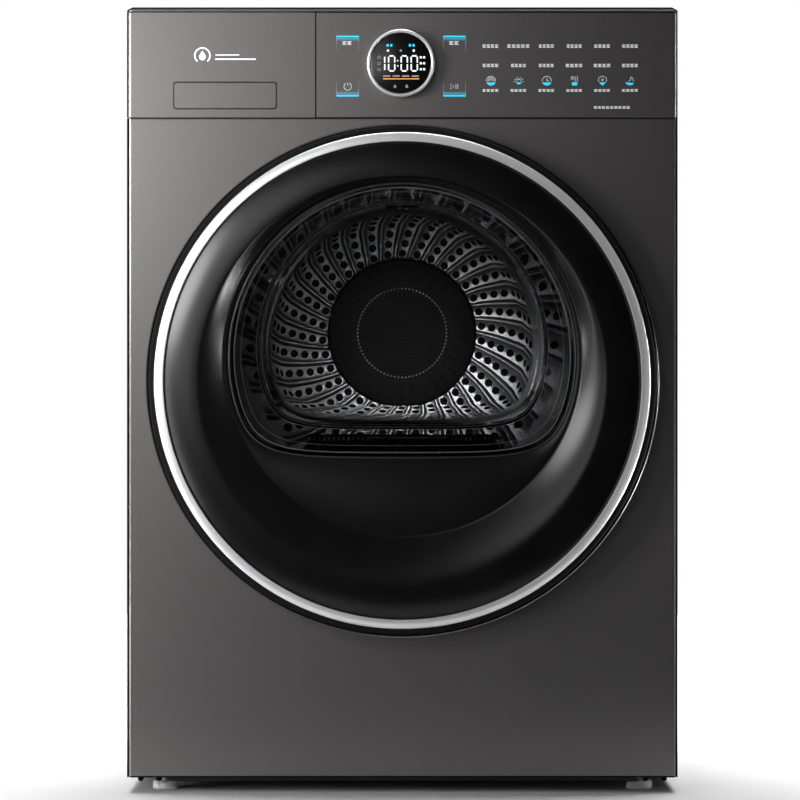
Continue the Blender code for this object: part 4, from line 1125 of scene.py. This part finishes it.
def make_camera():
    """Straight-on front view from far away."""
    view_width = 866.4
    distance = 5000.0
    data = bpy.data.cameras.new("camera")
    data.sensor_width = 36.0
    data.lens = data.sensor_width * distance / view_width
    data.clip_start, data.clip_end = 0.1, 60
    camera = add_object("camera", data)
    camera.location = Vector((-2.5, PANEL_Y - distance, 425.0)) * MM
    camera.rotation_euler = (math.pi / 2, 0, 0)
    bpy.context.scene.camera = camera


def add_area(name, place, target, size, power, spread):
    """An elliptical area light aimed at a point, itself unseen."""
    data = bpy.data.lights.new(name, "AREA")
    data.shape = "ELLIPSE"
    data.size, data.size_y = size[0] * MM, size[1] * MM
    data.energy = power
    data.spread = math.radians(spread)
    light = add_object(name, data)
    light.location = Vector(place) * MM
    aim = (Vector(target) - Vector(place)).to_track_quat("-Z", "Y")
    light.rotation_euler = aim.to_euler()
    light.visible_camera = False


def make_world():
    """White behind the object; as a light source, bright above and behind and dark in front."""
    world = bpy.data.worlds.new("studio")
    world.use_nodes = True
    tree = world.node_tree
    white = {"Color": (1, 1, 1, 1)}
    lit, seen = tree.nodes["Background"], new_node(tree, "Background", white)
    set_inputs(lit, white)
    facing = new_node(tree, "VectorMath")
    facing.operation = "DOT_PRODUCT"
    facing.inputs[1].default_value = (0, 0.5, 0.87)
    span = new_node(tree, "MapRange", {"From Min": -0.25, "To Min": SKY_FRONT, "To Max": SKY_TOP})
    choice = new_node(tree, "MixShader")
    link(new_node(tree, "TexCoord"), "Generated", facing, 0)
    link(facing, "Value", span, "Value")
    link(span, "Result", lit, "Strength")
    link(new_node(tree, "LightPath"), "Is Camera Ray", choice, "Fac")
    link(lit, "Background", choice, 1)
    link(seen, "Background", choice, 2)
    link(choice, "Shader", tree.nodes["World Output"], "Surface")
    bpy.context.scene.world = world


def make_studio():
    """World, a plain round floor and the area lights."""
    make_world()
    floor = add_object("floor", bpy.data.meshes.new("floor"))
    shape = turned([(FLOOR_R, -1), (FLOOR_R, -0.2)], (0, FLOOR_CENTRE_Y), 96, False, "Z")
    shape.to_mesh(floor.data)
    shape.free()
    material = new_material("floor_white", (0.85, 0.85, 0.85), 0.8)
    vary_colour(material, add_noise(material, 2, 2), (0.84, 0.84, 0.84), (0.86, 0.86, 0.86))
    floor.data.materials.append(material)
    for settings in LIGHTS:
        add_area(*settings)


def main():
    """Make every piece, then the camera and the studio."""
    steps = (refine_carried_nodes, make_front_panel, make_top_cover, make_base_details, make_feet,
             make_rear_details, make_side_ribs, make_edge_lines, make_door_frame, make_trim_ring,
             make_fascia, make_window_edge, make_glazing, make_inner_frame, make_surround, make_rear_wall,
             make_hub, make_drum_shell, make_filter_top, make_selector, make_display, make_touch_keys,
             make_programme_list, make_drawer_sign, make_camera, make_studio)
    for step in steps:
        step()
    bpy.context.scene.view_settings.view_transform = "Standard"


main()
